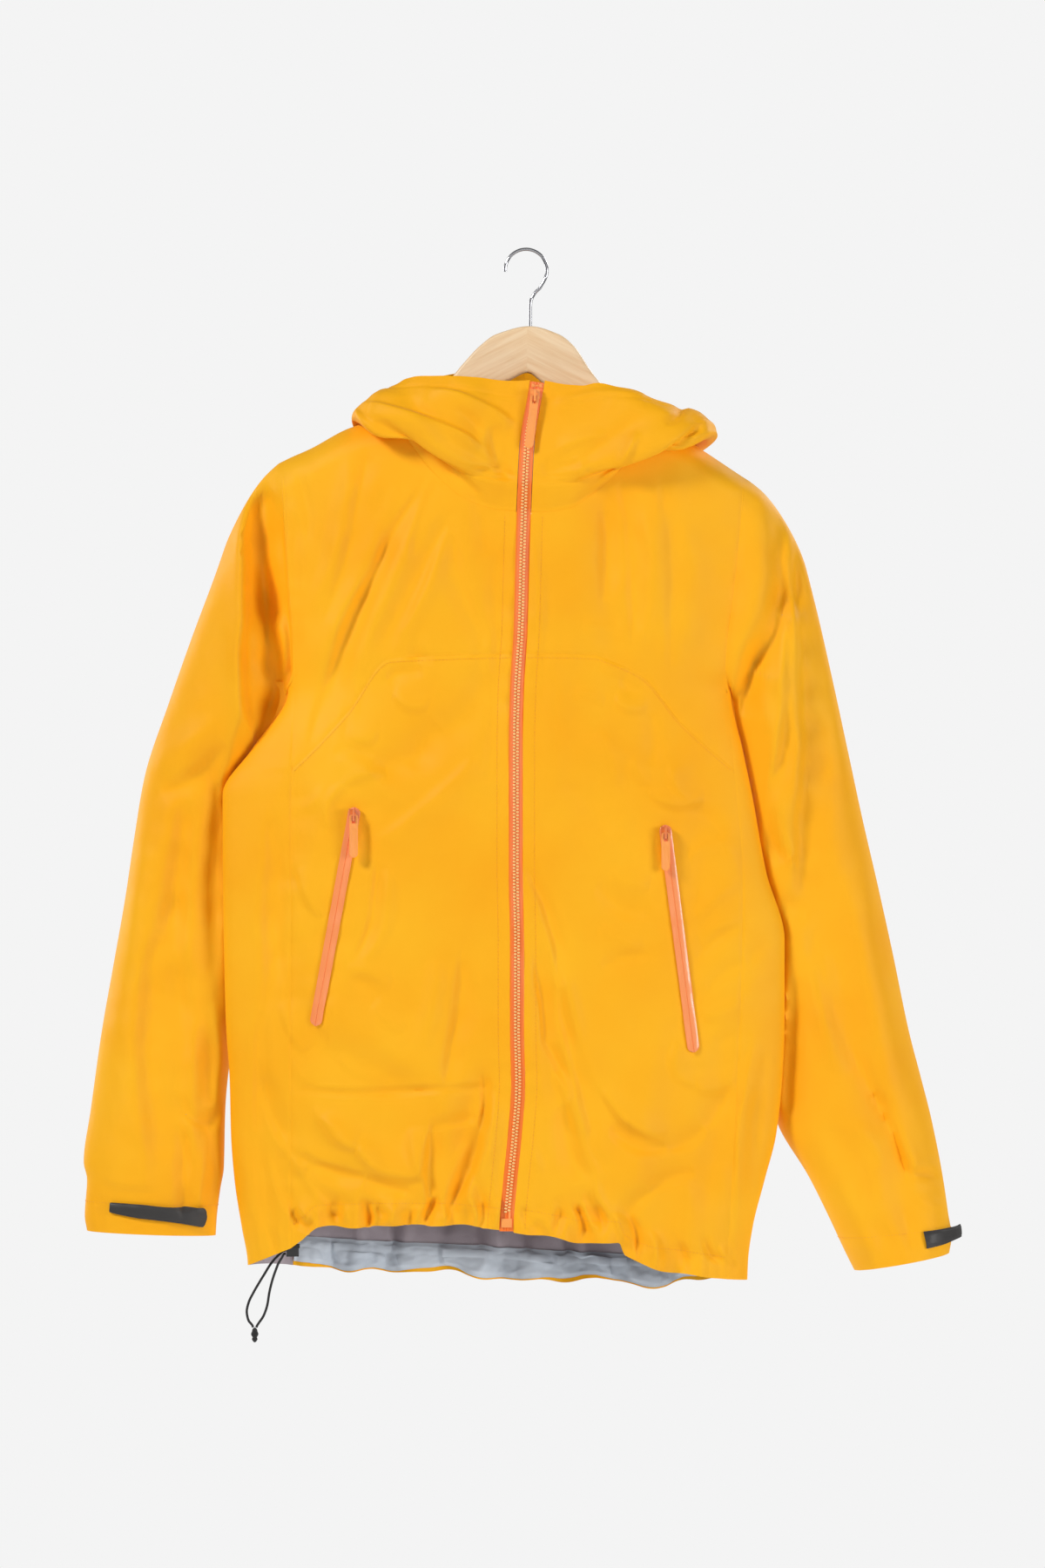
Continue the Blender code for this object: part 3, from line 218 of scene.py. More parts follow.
finishes = {
    "shell": wovenFinish("yellowShell", shellLook["light"], shellLook["dark"], 0.58, shellLook),
    # the hood's inner face: the shell's cloth in a darker yellow, painted shade
    "hoodInsideShade": wovenFinish("shadedYellowInside", shellLook["inside"], shellLook["inside"], 0.62, shellLook),
    "lining": wovenFinish("greyLining", shellLook["lining"], (158, 146, 152), 0.24, shellLook, 0.1, 0.004),
    "tape": wovenFinish("greyTape", (208, 215, 223), (188, 196, 206), 0.42, shellLook, 0.1, 0.0022),
    "zipTape": glossyFinish("orangeTape", (255, 134, 50), (250, 116, 36), 0.24, 0.0, 0.6),
    "pocketTape": glossyFinish("coralTape", (255, 158, 96), (252, 140, 76), 0.34, 0.0, 0.45),
    "slider": glossyFinish("orangeSlider", (240, 130, 56), (226, 112, 40), 0.2, 0.0, 0.7),
    "teeth": glossyFinish("paleTeeth", (255, 210, 132), (255, 200, 118), 0.35),
    "pull": glossyFinish("palePull", (255, 166, 82), (255, 156, 70), 0.35, 0.0011),
    "tab": glossyFinish("charcoalTab", (52, 49, 48), (44, 42, 41), 0.55, 0.0016, 0.05),
    "cord": braidFinish("blackCord", (24, 23, 24), 0.0016),
    "lock": glossyFinish("blackLock", (30, 29, 30), (24, 24, 25), 0.4),
    "wood": woodFinish("beechWood", woodLook),
    "chrome": metalFinish("chromeWire", (186, 186, 190)),
    "thread": glossyFinish("yellowThread", (250, 172, 30), (240, 160, 20), 0.6, 0.0, 0.0),
}
print("finishes made")


# Smooth lines through short tables. A line never overshoots its own knots.
def readKnots(at, knots, values):
    at = np.asarray(at, float)
    knots = np.asarray(knots, float)
    gaps = np.diff(knots)
    slopes = np.diff(values, axis=-1) / gaps
    product = slopes[..., :-1] * slopes[..., 1:]
    total = slopes[..., :-1] + slopes[..., 1:]
    inner = np.where(product > 0, 2 * product / np.where(total == 0, 1, total), 0)
    tangents = np.concatenate([slopes[..., :1], inner, slopes[..., -1:]], -1)
    index = np.clip(np.searchsorted(knots, at) - 1, 0, len(gaps) - 1)
    t = np.clip((at - knots[index]) / gaps[index], 0, 1)
    run = gaps[index]

    def pick(table, offset):
        if table.ndim == 1:
            return table[index + offset]
        return np.take_along_axis(table, (index + offset)[..., None], -1)[..., 0]

    return (
        pick(values, 0) * (1 + 2 * t) * (1 - t) ** 2
        + run * pick(tangents, 0) * t * (1 - t) ** 2
        + pick(values, 1) * t * t * (3 - 2 * t)
        + run * pick(tangents, 1) * t * t * (t - 1)
    )


def lookUp(table, name, at):
    rows = np.array(table[1:], float)
    return readKnots(at, rows[:, 0], rows[:, table[0].index(name)])


def lineAt(table, x):
    return lookUp(table, "drop", x)


def softStep(at, start, end):
    t = np.clip((np.asarray(at, float) - start) / (end - start), 0, 1)
    return t * t * (3 - 2 * t)


def foldHeight(table, x, drop):  # broad folds, straight, fading at their sides and ends
    height = np.zeros(np.broadcast(x, drop).shape)
    for x1, drop1, x2, drop2, width, rise in table:
        run = np.array([x2 - x1, drop2 - drop1], float)
        length = np.hypot(*run)
        run /= length
        along = (x - x1) * run[0] + (drop - drop1) * run[1]
        across = (x - x1) * run[1] - (drop - drop1) * run[0]
        past = np.maximum(np.maximum(-along, along - length), 0)
        height += rise * np.exp(-((across / width) ** 2) - (past / (1.6 * width)) ** 2)
    return height


def creaseHeight(table, x, drop):  # narrow creases, bowed, thinner at their ends, steeper on one side
    height = np.zeros(np.broadcast(x, drop).shape)
    wander = 1.4 * np.sin(drop / 31.0 + x / 57.0) + 0.8 * np.sin(drop / 16.0 - x / 23.0)
    wander += 0.3 * np.sin(drop / 7.1 + x / 8.7)
    uneven = 0.85 + 0.15 * np.sin(drop / 8.3 - x / 11.0) * np.sin(drop / 19.0 + x / 14.0)
    for x1, drop1, x2, drop2, bow, width, rise, lean in table:
        length = math.hypot(x2 - x1, drop2 - drop1)
        runX, runDrop = (x2 - x1) / length, (drop2 - drop1) / length
        along = ((x - x1) * runX + (drop - drop1) * runDrop) / length
        t = np.clip(along, 0, 1)
        across = (x - x1) * runDrop - (drop - drop1) * runX - bow * 4 * t * (1 - t) + wander
        swell = np.sqrt(4 * t * (1 - t) + 0.02)
        past = np.abs(along - t) * length
        thin = width * (0.55 + 0.45 * swell) * np.where(across > 0, 1 + lean, 1 - lean)
        rise = rise * jacket["creaseRise"] * (0.4 + 0.6 * min(1, length / 70))
        height += rise * uneven * swell * np.exp(-((across / thin) ** 2) - (past / width) ** 2)
    return height


def ripples(seed, x, drop, size, stretch=1.0):  # even, gentle unrest of the cloth, about -1 to 1
    random = np.random.default_rng(seed)
    height = np.zeros(np.broadcast(x, drop).shape)
    for _ in range(14):
        turn, phase, scale = random.uniform(0, math.pi), random.uniform(0, 6.28), random.uniform(0.6, 1.7)
        height += np.sin((x * math.cos(turn) + drop * math.sin(turn) / stretch) * 6.28 / (size * scale) + phase)
    return height / 5.0


def gatherHeight(table, hem, x, drop):
    above = lineAt(hem, x) - drop
    height = np.zeros(np.broadcast(x, drop).shape)
    for middle, reach, width, rise in table:
        fade = 1 - softStep(above, 0, reach)
        height += rise * fade * np.exp(-(((x - middle) / width) ** 2))
    return height


def puckers(seed, distance, along, reach, size):  # small ripples that a seam pulls into the cloth
    random = np.random.default_rng(seed)
    shift = 1.8 * np.sin(along / random.uniform(23, 31)) + 1.1 * np.sin(along / random.uniform(9, 13) + seed)
    wave = np.sin(6.28 * along / size + shift) * (0.6 + 0.4 * np.sin(along / random.uniform(35, 60) + seed))
    return wave * np.exp(-((distance / reach) ** 2))


def seamDip(distance, depth, half):  # the groove along a seam
    return -depth * np.exp(-((distance / half) ** 2))


def turnedHem(distance):  # the groove along the stitching of a turned hem
    return seamDip(distance, depth=0.7, half=2.0)


# Tables of the jacket's shape
# Millimetres. x runs towards the wearer's left, drop is the depth below the hook's bearing
# point, and the front faces -Y. Side -1 is the wearer's right.
jacket = {
    "wall": 1.3,         # thickness of the cloth
    "ridgeRound": 26.0,  # height over which front and back round over the shoulder
    "tuckGap": 5.5,      # how far a sleeve stays behind the side that it tucks behind
    "tuckSpread": 20.0,  # how deep the sleeve stays where it is tucked
    "hoodLift": 5.0,     # how far the hood's folds stay off the shoulders
    "zipHalf": 6.0,      # half the width of the centre front zip
    "pocketHalf": 5.2,   # half the width of a pocket zip
    "creaseRise": 2.0,   # how deep every crease is, against its table
    "seamDepth": 0.8,    # depth of the groove along a seam, and half its width
    "seamHalf": 1.5,
    "pucker": 0.55,      # height of the small ripples along the seams
    "unrest": 0.55,      # height of the cloth's gentle unrest
    "hemSeam": 19.0,     # height of the hem's stitching
    "hemCrease": 1.7,    # how deep the hem's narrow creases are, against the other creases
    "facing": 16.0,      # distance of the zip facing's edge from the middle
}

# Level sections of the body. right and left are the x of the side folds, front and back are the
# depths of the two half ellipses, and forward is how far the side fold lies in front of the
# hanger's plane. Above the armpit the side folds are where the section would close if it had
# no sleeve.
sections = (
    ("drop", "centre", "right", "left", "front", "back", "forward"),
    (110, 8, -240, 236, 40, 34, 0),
    (181, 1, -243, 232, 43, 36, 0),
    (256, -2, -246, 226, 44, 36, 0),
    (330, -4, -228, 204, 43, 36, 0),
    (361, -6, -213, 189, 43, 37, -2),
    (379, -7, -204, 177, 43, 37, -4),
    (429, -8, -235, 187, 43, 38, -8),
    (468, -8, -260, 195, 43, 39, -11),
    (534, -8, -260, 207, 43, 40, -13),
    (593, -7, -259, 223, 43, 41, -12),
    (668, -7, -257, 223, 43, 41, -10),
    (714, -6, -254, 221, 42, 41, -8),
    (760, -9, -253, 216, 41, 40, -6),
    (800, -13, -250, 206, 40, 39, -4),
    (840, -16, -244, 196, 38, 37, -2),
    (870, -16, -239, 192, 37, 36, 0),
    (900, -16, -238, 191, 37, 36, 0),
)

# The line where front and back meet over the shoulder.
ridge = (
    ("x", "drop"),
    (-246, 216), (-232, 197), (-208, 181), (-184, 170), (-152, 153), (-115, 142),
    (-60, 128), (0, 122), (60, 130), (118, 151), (150, 170), (188, 195), (209, 208), (229, 231),
)

# The seam that ends each front and back on its outer side: the armhole down to the armpit,
# then the side seam. arm is the armhole's own line, which closes on the side fold.
armholes = {
    -1: (("drop", "arm", "seam"),
         (181, -208, -208), (270, -203.5, -203.5), (361, -198, -198),
         (372, -200.5, -198), (379, -204, -198), (448, -199.5, -199.5), (900, -201, -201)),
    1: (("drop", "arm", "seam"),
        (195, 187.5, 187.5), (270, 181.5, 181.5), (361, 172, 172),
        (372, 173.8, 172), (379, 177, 172.5), (448, 179, 179), (545, 186, 186), (900, 172, 172)),
}
armTop = {-1: 181, 1: 195}
armSeam = 361
armPit = 379
neckX = {-1: -115, 1: 118}

# Edges of the pieces across the front and the back.
neckFront = (
    ("x", "drop"),
    (-115, 142), (-106, 157), (-94, 174), (-76, 196), (-49, 217), (-24, 225), (0, 227),
    (14, 227), (38, 224), (53, 215), (73, 199), (92, 179), (107, 164), (118, 151),
)
neckBack = (
    ("x", "drop"),
    (-115, 142), (-80, 151), (-40, 158), (0, 160), (40, 160), (80, 157), (118, 151),
)
yokeFront = (
    ("x", "drop"),
    (-203, 450), (-182, 430), (-152, 398), (-115, 352), (-76, 350), (0, 348), (57, 349),
    (76, 355), (100, 367), (133, 406), (189, 455),
)
yokeBack = (("x", "drop"), (-230, 338), (0, 322), (210, 342))
hemFront = (
    ("x", "drop"),
    (-245, 876), (-226, 874), (-216, 868), (-205, 860), (-192, 850), (-178, 839), (-150, 837),
    (-119, 836), (-74, 836), (-32, 839), (0, 842), (29, 847), (47, 851), (80, 852), (86, 864),
    (110, 874), (138, 878), (174, 884), (195, 886),
)
hemBack = (
    ("x", "drop"),
    (-245, 876), (-223, 873), (-180, 877), (-110, 882), (-50, 885), (15, 889), (62, 891),
    (119, 893), (147, 886), (174, 885), (195, 886),
)

# Folds: a soft ridge, or a trough where the height is negative, along the line between two ends:
# x and drop of each end, width and height.
frontFolds = (
    (-141, 215, -172, 345, 13, 4.0),
    (-118, 225, -160, 372, 11, -3.5),
    (-92, 235, -140, 345, 13, 4.0),
    (-70, 245, -118, 330, 12, -3.0),
    (-30, 250, -36, 400, 22, -3.0),
    (-196, 470, -204, 640, 12, -4.0),
    (-228, 730, -228, 820, 12, -5.0),
    (-210, 775, -168, 826, 10, -4.5),
    (-150, 765, -122, 812, 16, 5.0),
    (-190, 678, -118, 715, 12, -3.5),
    (-160, 655, -90, 700, 14, 3.5),
    (-38, 715, -62, 795, 10, -4.0),
    (-70, 730, -84, 800, 14, 3.5),
    (14, 615, 30, 720, 12, -3.5),
    (42, 690, 56, 770, 14, 4.0),
    (150, 500, 150, 640, 16, -3.0),
    (110, 700, 96, 790, 16, 4.0),
    (170, 700, 160, 800, 14, -4.0),
    (70, 225, 74, 330, 14, -3.0),
    (120, 240, 128, 330, 14, 3.0),
    (60, 430, 120, 450, 14, 3.0),
    (-150, 440, -110, 470, 12, 3.0),
)
backFolds = (
    (-150, 350, -190, 470, 16, 4.5),
    (-60, 420, -96, 640, 18, -4.5),
    (-10, 500, -30, 730, 20, 4.0),
    (46, 400, 66, 620, 16, -4.0),
    (130, 350, 168, 480, 16, 4.5),
    (110, 600, 96, 790, 18, 4.5),
    (-150, 620, -140, 800, 18, 4.5),
    (30, 690, 40, 820, 14, -4.0),
)

# Gathers that the drawcord pulls into the hem: the x of each ridge or trough, its reach up from
# the hem, its half width and its height.
frontGathers = (
    (-182, 70, 9, 4.5), (-163, 48, 9, -5.0), (-146, 55, 8, 4.0), (-130, 40, 8, -4.5),
    (-112, 52, 9, 4.5), (-92, 44, 9, -4.5), (-74, 60, 9, 4.5), (-54, 38, 9, -4.0),
    (-37, 45, 8, 3.0), (14, 50, 9, -4.0), (33, 42, 9, 4.0), (50, 52, 9, -5.0),
    (69, 40, 9, 4.5), (89, 60, 9, -5.0), (109, 48, 9, 4.5), (129, 40, 9, -4.5),
    (150, 46, 9, 4.0),
)
backGathers = (
    (-190, 50, 9, -4.5), (-168, 62, 9, 4.5), (-146, 44, 9, -4.5), (-122, 56, 10, 4.5),
    (-98, 48, 10, -4.5), (-72, 66, 10, 4.5), (-46, 42, 9, -4.5), (-22, 52, 9, 4.5),
    (4, 60, 10, -4.5), (30, 46, 10, 4.5), (56, 54, 9, -4.5), (80, 44, 9, 4.5),
    (104, 58, 10, -4.5), (130, 48, 10, 4.5), (152, 44, 9, -4.0),
)

# Rings of the sleeves, from just outside the armhole to the wrist: the outer and the inner end
# of each ring as seen from the front, and the y of its middle and half its depth.
sleeveRings = {
    -1: (("outer_x", "outer_drop", "inner_x", "inner_drop", "middle", "depth"),
         (-224, 189, -206, 386, 0, 34),
         (-241, 210, -209, 393, 1, 35),
         (-254, 242, -213, 402, 3, 36),
         (-268, 281, -219, 416, 6, 36),
         (-287, 331, -224, 438, 10, 36),
         (-307, 387, -230, 468, 14, 35),
         (-329, 453, -233, 510, 18, 34),
         (-338, 505, -234, 548, 20, 33),
         (-346, 558, -236, 588, 21, 32),
         (-356, 615, -242, 640, 20, 31),
         (-366, 673, -254, 690, 17, 30),
         (-375, 739, -259, 742, 13, 29),
         (-381, 785, -260, 790, 10, 28),
         (-378, 800, -263, 808, 9, 27),
         (-380, 831, -266, 832, 9, 26),
         (-378, 844, -267, 848, 9, 25)),
    1: (("outer_x", "outer_drop", "inner_x", "inner_drop", "middle", "depth"),
        (209, 208, 178.5, 386, 0, 34),
        (223, 222, 179.5, 394, 1, 35),
        (234, 246, 181, 404, 3, 36),
        (250, 303, 182, 424, 7, 37),
        (265, 367, 179, 456, 12, 38),
        (280, 435, 176, 500, 17, 38),
        (292, 490, 178, 540, 20, 37),
        (305, 546, 183, 582, 21, 36),
        (318, 605, 192, 632, 21, 35),
        (332, 673, 203, 690, 19, 34),
        (342, 712, 210, 722, 17, 34),
        (351, 748, 218, 752, 15, 34),
        (361, 800, 245, 798, 12, 35),
        (365, 828, 262, 832, 11, 35),
        (368, 850, 276, 862, 10, 35),
        (366, 863, 284, 878, 10, 34)),
}
sleeveFolds = {
    -1: ((-226, 212, -224, 300, 11, -14.0),
         (-224, 300, -216, 385, 12, -12.0),
         (-243, 230, -245, 430, 11, 5.0),
         (-262, 470, -300, 640, 20, -6.0),
         (-290, 640, -300, 760, 16, -5.0),
         (-330, 520, -345, 760, 22, 4.0),
         (-274, 690, -272, 800, 9, -5.0),
         (-285, 700, -288, 800, 9, 4.0)),
    1: ((222, 232, 220, 300, 11, -11.0),
        (220, 300, 198, 350, 11, -11.0),
        (198, 350, 186, 385, 10, -8.0),
        (236, 320, 240, 470, 13, 5.0),
        (252, 560, 282, 690, 16, -5.0),
        (290, 560, 312, 700, 18, 4.5),
        (300, 730, 330, 840, 12, -5.0)),
}

# The hood, down on the shoulders: angle runs from the centre front (0) to the centre back (180).
# From the neck seam the cloth rises by stand (or hangs by a negative one), folds outwards by
# overhang with its lowest point sag below, and ends at the opening, rise above the seam and
# lean outwards of it.
hoodStations = {
    -1: (("angle", "seam_x", "stand", "sag", "overhang", "rise", "lean"),
         (0, -7.6, 30, 0, 5, 112, 3),
         (18, -45, 32, 4, 17, 106, 3),
         (38, -76, 32, 8, 27, 85, 5),
         (62, -100, 12, 8, 37, 54, 2),
         (90, -115, -6, 4, 34, 28, -8),
         (120, -80, -26, 9, 54, 42, 14),
         (150, -40, -84, 14, 55, 58, 20),
         (180, 0, -104, 15, 58, 63, 22)),
    1: (("angle", "seam_x", "stand", "sag", "overhang", "rise", "lean"),
        (0, 5.2, 30, 0, 5, 112, 3),
        (18, 46, 27, 2, 12, 102, 3),
        (38, 74, 18, 8, 28, 77, 6),
        (62, 100, 5, 8, 43, 42, 8),
        (90, 118, -9, 4, 48, 13, 26),
        (120, 82, -26, 9, 54, 34, 18),
        (150, 42, -84, 14, 55, 52, 20),
        (180, 0, -104, 15, 58, 63, 22)),
}

# Slanted pocket zips: the ends of each, as seen from the front.
pockets = {
    -1: {"top": (-145, 479), "bottom": (-179, 665)},
    1: {"top": (119, 494), "bottom": (144, 688)},
}

# The wrist tabs, in the sleeve's own directions: the angles round the ring where the tab starts
# and ends, and its upper and lower edge there as shares of the sleeve's length.
wristTabs = {
    -1: (("angle", "upper", "lower", "proud"),
         (54, 0.955, 0.968, 1.0), (75, 0.956, 0.974, 1.0),
         (110, 0.960, 0.981, 1.2), (147, 0.960, 0.990, 1.4)),
    1: (("angle", "upper", "lower", "proud"),
        (-14, 0.957, 0.975, 10.0), (12, 0.957, 0.977, 4.0),
        (35, 0.957, 0.981, 0.5), (62, 0.958, 0.983, 0.35)),
}

# The hanger: the upper and the lower edge of its outline, from one tip to the other.
hangerThick = 11.0
hangerUpper = (
    ("x", "drop"),
    (-223, 199), (-208, 187), (-184, 174), (-152, 157), (-115, 146), (-66, 112), (-54, 98),
    (-39, 82), (-25, 72), (4, 65), (29, 72), (42, 82), (57, 104), (72, 122), (114, 154), (150, 174),
    (188, 200), (199, 211), (205, 219),
)
hangerLower = (
    ("x", "drop"),
    (205, 222), (198, 224), (150, 198), (110, 168), (60, 134), (17, 115), (2, 105),
    (-14, 112), (-60, 130), (-110, 162), (-152, 183), (-208, 207), (-223, 204),
)

hookWire = 1.4     # radius of the hook's wire
hookRadius = 18.0  # radius of its bend, to the middle of the wire
hookX = 0.8
shankX = 4.5
shankDepth = 14.0
crownDrop = 65.0

cordRadius = 1.1
cordRoutes = {
    "hem_cord_rear": ((-205.4, -13.6, -859.2), (-206.9, -13.4, -859.4), (-210.5, -10.5, -862.5),
                      (-215.5, -8.2, -867.5), (-220.0, -7.4, -873.4), (-224.0, -7.6, -880.0),
                      (-228.6, -8.2, -887.5), (-233.5, -9.0, -896.0), (-237.6, -9.8, -904.5),
                      (-239.2, -10.4, -912.0), (-237.8, -10.8, -919.5), (-234.2, -10.9, -924.2),
                      (-233.7, -10.9, -925.7)),
    "hem_cord_front": ((-205.4, -16.2, -861.9), (-206.8, -16.1, -862.1),
                       (-208.8, -15.4, -865.5), (-211.6, -14.2, -870.0),
                       (-214.4, -13.0, -877.0), (-217.4, -12.0, -886.0), (-219.8, -11.4, -896.0),
                       (-221.4, -11.1, -906.0), (-224.6, -11.0, -915.5), (-230.3, -10.9, -924.2),
                       (-231.0, -10.9, -925.7)),
}
knotAt = (-232.3, -10.9, -932.2)
knotSize = (3.0, 2.6, 6.4)
lockAt = (-199.5, -15.0, -859.0)
lockSize = (10.5, 7.0, 10.5)


# Narrow creases as seen from straight in front: x and drop of each end, bow, width, height, and
# lean, which makes one side steeper.
frontCreases = (
    (-137, 178, -170, 321, 4, 8, -2.6, 0.3), (-151, 182, -181, 309, 3, 7, 1.6, 0),
    (-89, 202, -185, 423, -6, 8, -3.4, 0.35), (-113, 204, -164, 340, 3, 9, 2.2, 0),
    (-77, 201, -95, 264, -3, 6, -1.6, 0.2), (-65, 240, -106, 333, 4, 7, 2.6, 0.4),
    (-62, 246, -35, 342, -4, 9, -2.2, -0.3), (-44, 204, -32, 264, 2, 8, -1.2, 0),
    (-23, 234, -28, 459, 2, 12, -1.6, 0.3), (-193, 189, -188, 249, 2, 5, -1.4, 0),
    (-199, 234, -193, 354, -2, 6, -1.4, 0), (-111, 348, -79, 357, 3, 5, -2.2, 0.4),
    (-113, 384, -83, 394, -5, 8, 3.0, 0.4), (-118, 370, -88, 362, 3, 7, -2.6, 0),
    (-152, 418, -125, 418, -4, 8, 2.4, 0.4), (-164, 434, -130, 435, 3, 6, -1.8, 0),
    (-77, 406, -130, 452, 5, 16, -3.0, 0), (-32, 362, -100, 444, 8, 16, -2.4, 0),
    (-44, 438, -122, 506, 6, 12, 2.2, 0.5), (-170, 496, -154, 460, 6, 6, 2.4, 0),
    (-154, 460, -119, 450, 3, 6, 2.2, 0.3), (-173, 459, -190, 482, 3, 6, 1.6, 0),
    (-139, 489, -134, 534, 3, 7, -2.0, 0), (-125, 526, -146, 606, 6, 6, -2.0, 0.4),
    (-116, 534, -137, 609, 5, 8, 1.8, 0), (-193, 531, -173, 573, -4, 7, 3.0, 0.5),
    (-199, 542, -197, 594, 3, 7, 1.8, 0), (-218, 489, -223, 654, 3, 9, -4.2, 0.3),
    (-211, 519, -215, 639, 2, 6, -1.8, 0), (-211, 648, -188, 688, -3, 7, 3.0, 0.5),
    (-227, 654, -227, 759, -3, 6, -3.6, 0.4), (-205, 639, -211, 609, 2, 5, 1.6, 0),
    (-187, 668, -170, 681, 2, 5, -1.6, 0), (-226, 711, -188, 786, -5, 8, -5.0, 0.5),
    (-188, 786, -155, 825, -4, 7, -4.6, 0.4), (-211, 759, -163, 828, 3, 10, 4.0, 0.2),
    (-214, 776, -197, 831, -3, 6, -3.0, 0.3), (-193, 776, -137, 796, -4, 7, -4.4, -0.4),
    (-137, 796, -100, 808, -3, 7, -4.0, -0.4), (-173, 742, -145, 771, -4, 8, 3.6, 0.3),
    (-145, 772, -88, 794, -8, 12, 5.0, 0.5), (-182, 736, -158, 753, -3, 5, 1.8, 0.3),
    (-230, 759, -221, 849, 3, 7, -3.0, 0), (-245, 759, -236, 849, 2, 8, 2.4, 0),
    (-241, 828, -227, 864, 2, 6, -2.6, 0), (-194, 720, -32, 718, -3, 4, -1.8, 0.5),
    (-190, 714, -35, 712, -3, 4, 1.0, 0), (-160, 692, -118, 711, -4, 6, 1.8, 0.3),
    (-197, 696, -179, 714, -3, 5, 1.6, 0), (-130, 646, -103, 669, -3, 7, 1.8, 0.3),
    (-152, 616, -115, 632, 4, 7, 1.6, 0), (-149, 624, -125, 646, 3, 7, -1.4, 0),
    (-55, 609, -68, 714, 4, 9, -3.0, 0.5), (-77, 609, -85, 684, 3, 9, 1.8, 0),
    (-35, 708, -41, 756, 2, 5, -3.4, 0.4), (-41, 753, -71, 828, 7, 7, -4.4, -0.5),
    (-28, 722, -53, 825, 6, 8, 3.2, 0.2), (-79, 750, -80, 828, -3, 8, -4.6, 0.5),
    (-83, 752, -43, 747, -2, 5, -2.6, 0.5), (-95, 752, -89, 796, -3, 9, 3.4, 0.3),
    (-68, 820, -47, 766, 4, 6, 1.8, 0), (-47, 782, -35, 828, 2, 5, -2.2, 0), (-28, 782, -22, 831, -2, 5, 1.8, 0),
    (2, 534, 32, 632, 5, 6, -2.6, 0.5), (32, 632, 59, 759, -5, 7, -3.2, 0.4), (10, 612, 16, 681, 3, 5, -2.8, 0.5),
    (16, 681, 37, 729, 3, 6, -2.8, 0.4), (22, 594, 46, 684, 4, 7, 2.0, 0), (25, 706, 46, 759, 3, 7, 2.4, 0.3),
    (35, 732, 52, 798, -5, 11, -3.6, 0), (55, 752, 70, 789, -3, 6, -2.4, 0.3), (65, 722, 118, 762, -6, 8, 3.0, 0.5),
    (73, 753, 121, 770, -6, 8, -3.4, 0.4), (121, 770, 152, 752, -5, 8, -3.2, 0.4),
    (152, 752, 173, 714, -4, 8, -2.6, 0.3), (127, 681, 146, 717, -8, 8, 2.6, 0.4),
    (146, 717, 179, 711, -4, 7, 2.4, 0.4), (88, 834, 106, 806, 4, 7, -3.2, 0.3),
    (106, 806, 145, 792, 3, 6, -2.8, 0.4), (140, 801, 136, 864, 4, 12, 3.0, 0), (167, 782, 157, 864, 4, 12, 2.4, 0),
    (197, 681, 182, 864, -6, 8, 3.2, 0.4), (208, 692, 193, 849, -4, 7, -3.2, 0), (2, 759, 13, 789, -2, 5, 1.6, 0),
    (52, 808, 67, 837, -3, 5, -3.0, 0.3), (61, 798, 73, 828, -3, 5, 2.6, 0), (43, 825, 49, 843, 2, 5, 2.8, 0),
    (-2, 819, 13, 832, -4, 5, 2.4, 0.2), (28, 812, 35, 837, 2, 6, -2.2, 0), (61, 546, 104, 570, -5, 8, -2.2, 0.2),
    (73, 537, 106, 544, -4, 7, 1.6, 0), (65, 578, 100, 596, -3, 6, 1.6, 0), (65, 614, 106, 604, 3, 6, -1.6, 0),
    (148, 572, 182, 542, 3, 7, 1.8, 0.3), (148, 608, 187, 580, 4, 6, -2.4, 0.4), (152, 598, 182, 574, 3, 6, 2.0, 0),
    (157, 636, 191, 614, 4, 6, -2.0, 0.3), (152, 658, 185, 646, -3, 7, 2.2, 0),
    (193, 616, 211, 594, 3, 6, -2.2, 0.3), (163, 681, 194, 674, 3, 6, -1.6, 0), (190, 639, 215, 624, 3, 6, 1.8, 0),
    (125, 444, 137, 471, -5, 8, 2.8, 0.4), (106, 471, 152, 474, -6, 7, 2.6, 0.5),
    (92, 438, 104, 459, -4, 6, 1.8, 0), (140, 482, 170, 506, 4, 7, -1.8, 0.3), (163, 504, 185, 534, 4, 7, 1.8, 0),
    (140, 522, 166, 512, 4, 6, 1.6, 0), (68, 226, 65, 302, 3, 8, -2.4, 0.3), (83, 201, 91, 339, 4, 8, -2.0, 0.3),
    (103, 226, 106, 318, 2, 9, 1.8, 0), (118, 204, 125, 357, 3, 8, -1.8, 0.3), (134, 234, 148, 339, 3, 12, 1.4, 0),
    (49, 324, 103, 333, -3, 7, 1.4, 0), (65, 354, 88, 360, -3, 5, 1.6, 0), (77, 384, 104, 393, -4, 7, 2.6, 0.4),
    (82, 369, 100, 378, -2, 5, -2.0, 0), (43, 381, 68, 388, 3, 6, 1.4, 0), (110, 399, 106, 444, 3, 8, -1.8, 0),
    (65, 414, 77, 459, 3, 9, 1.6, 0), (25, 354, 28, 459, 3, 12, 1.2, 0), (38, 459, 73, 504, 4, 12, -1.6, 0),
    (7, 242, 10, 354, 2, 6, 1.4, 0),
)
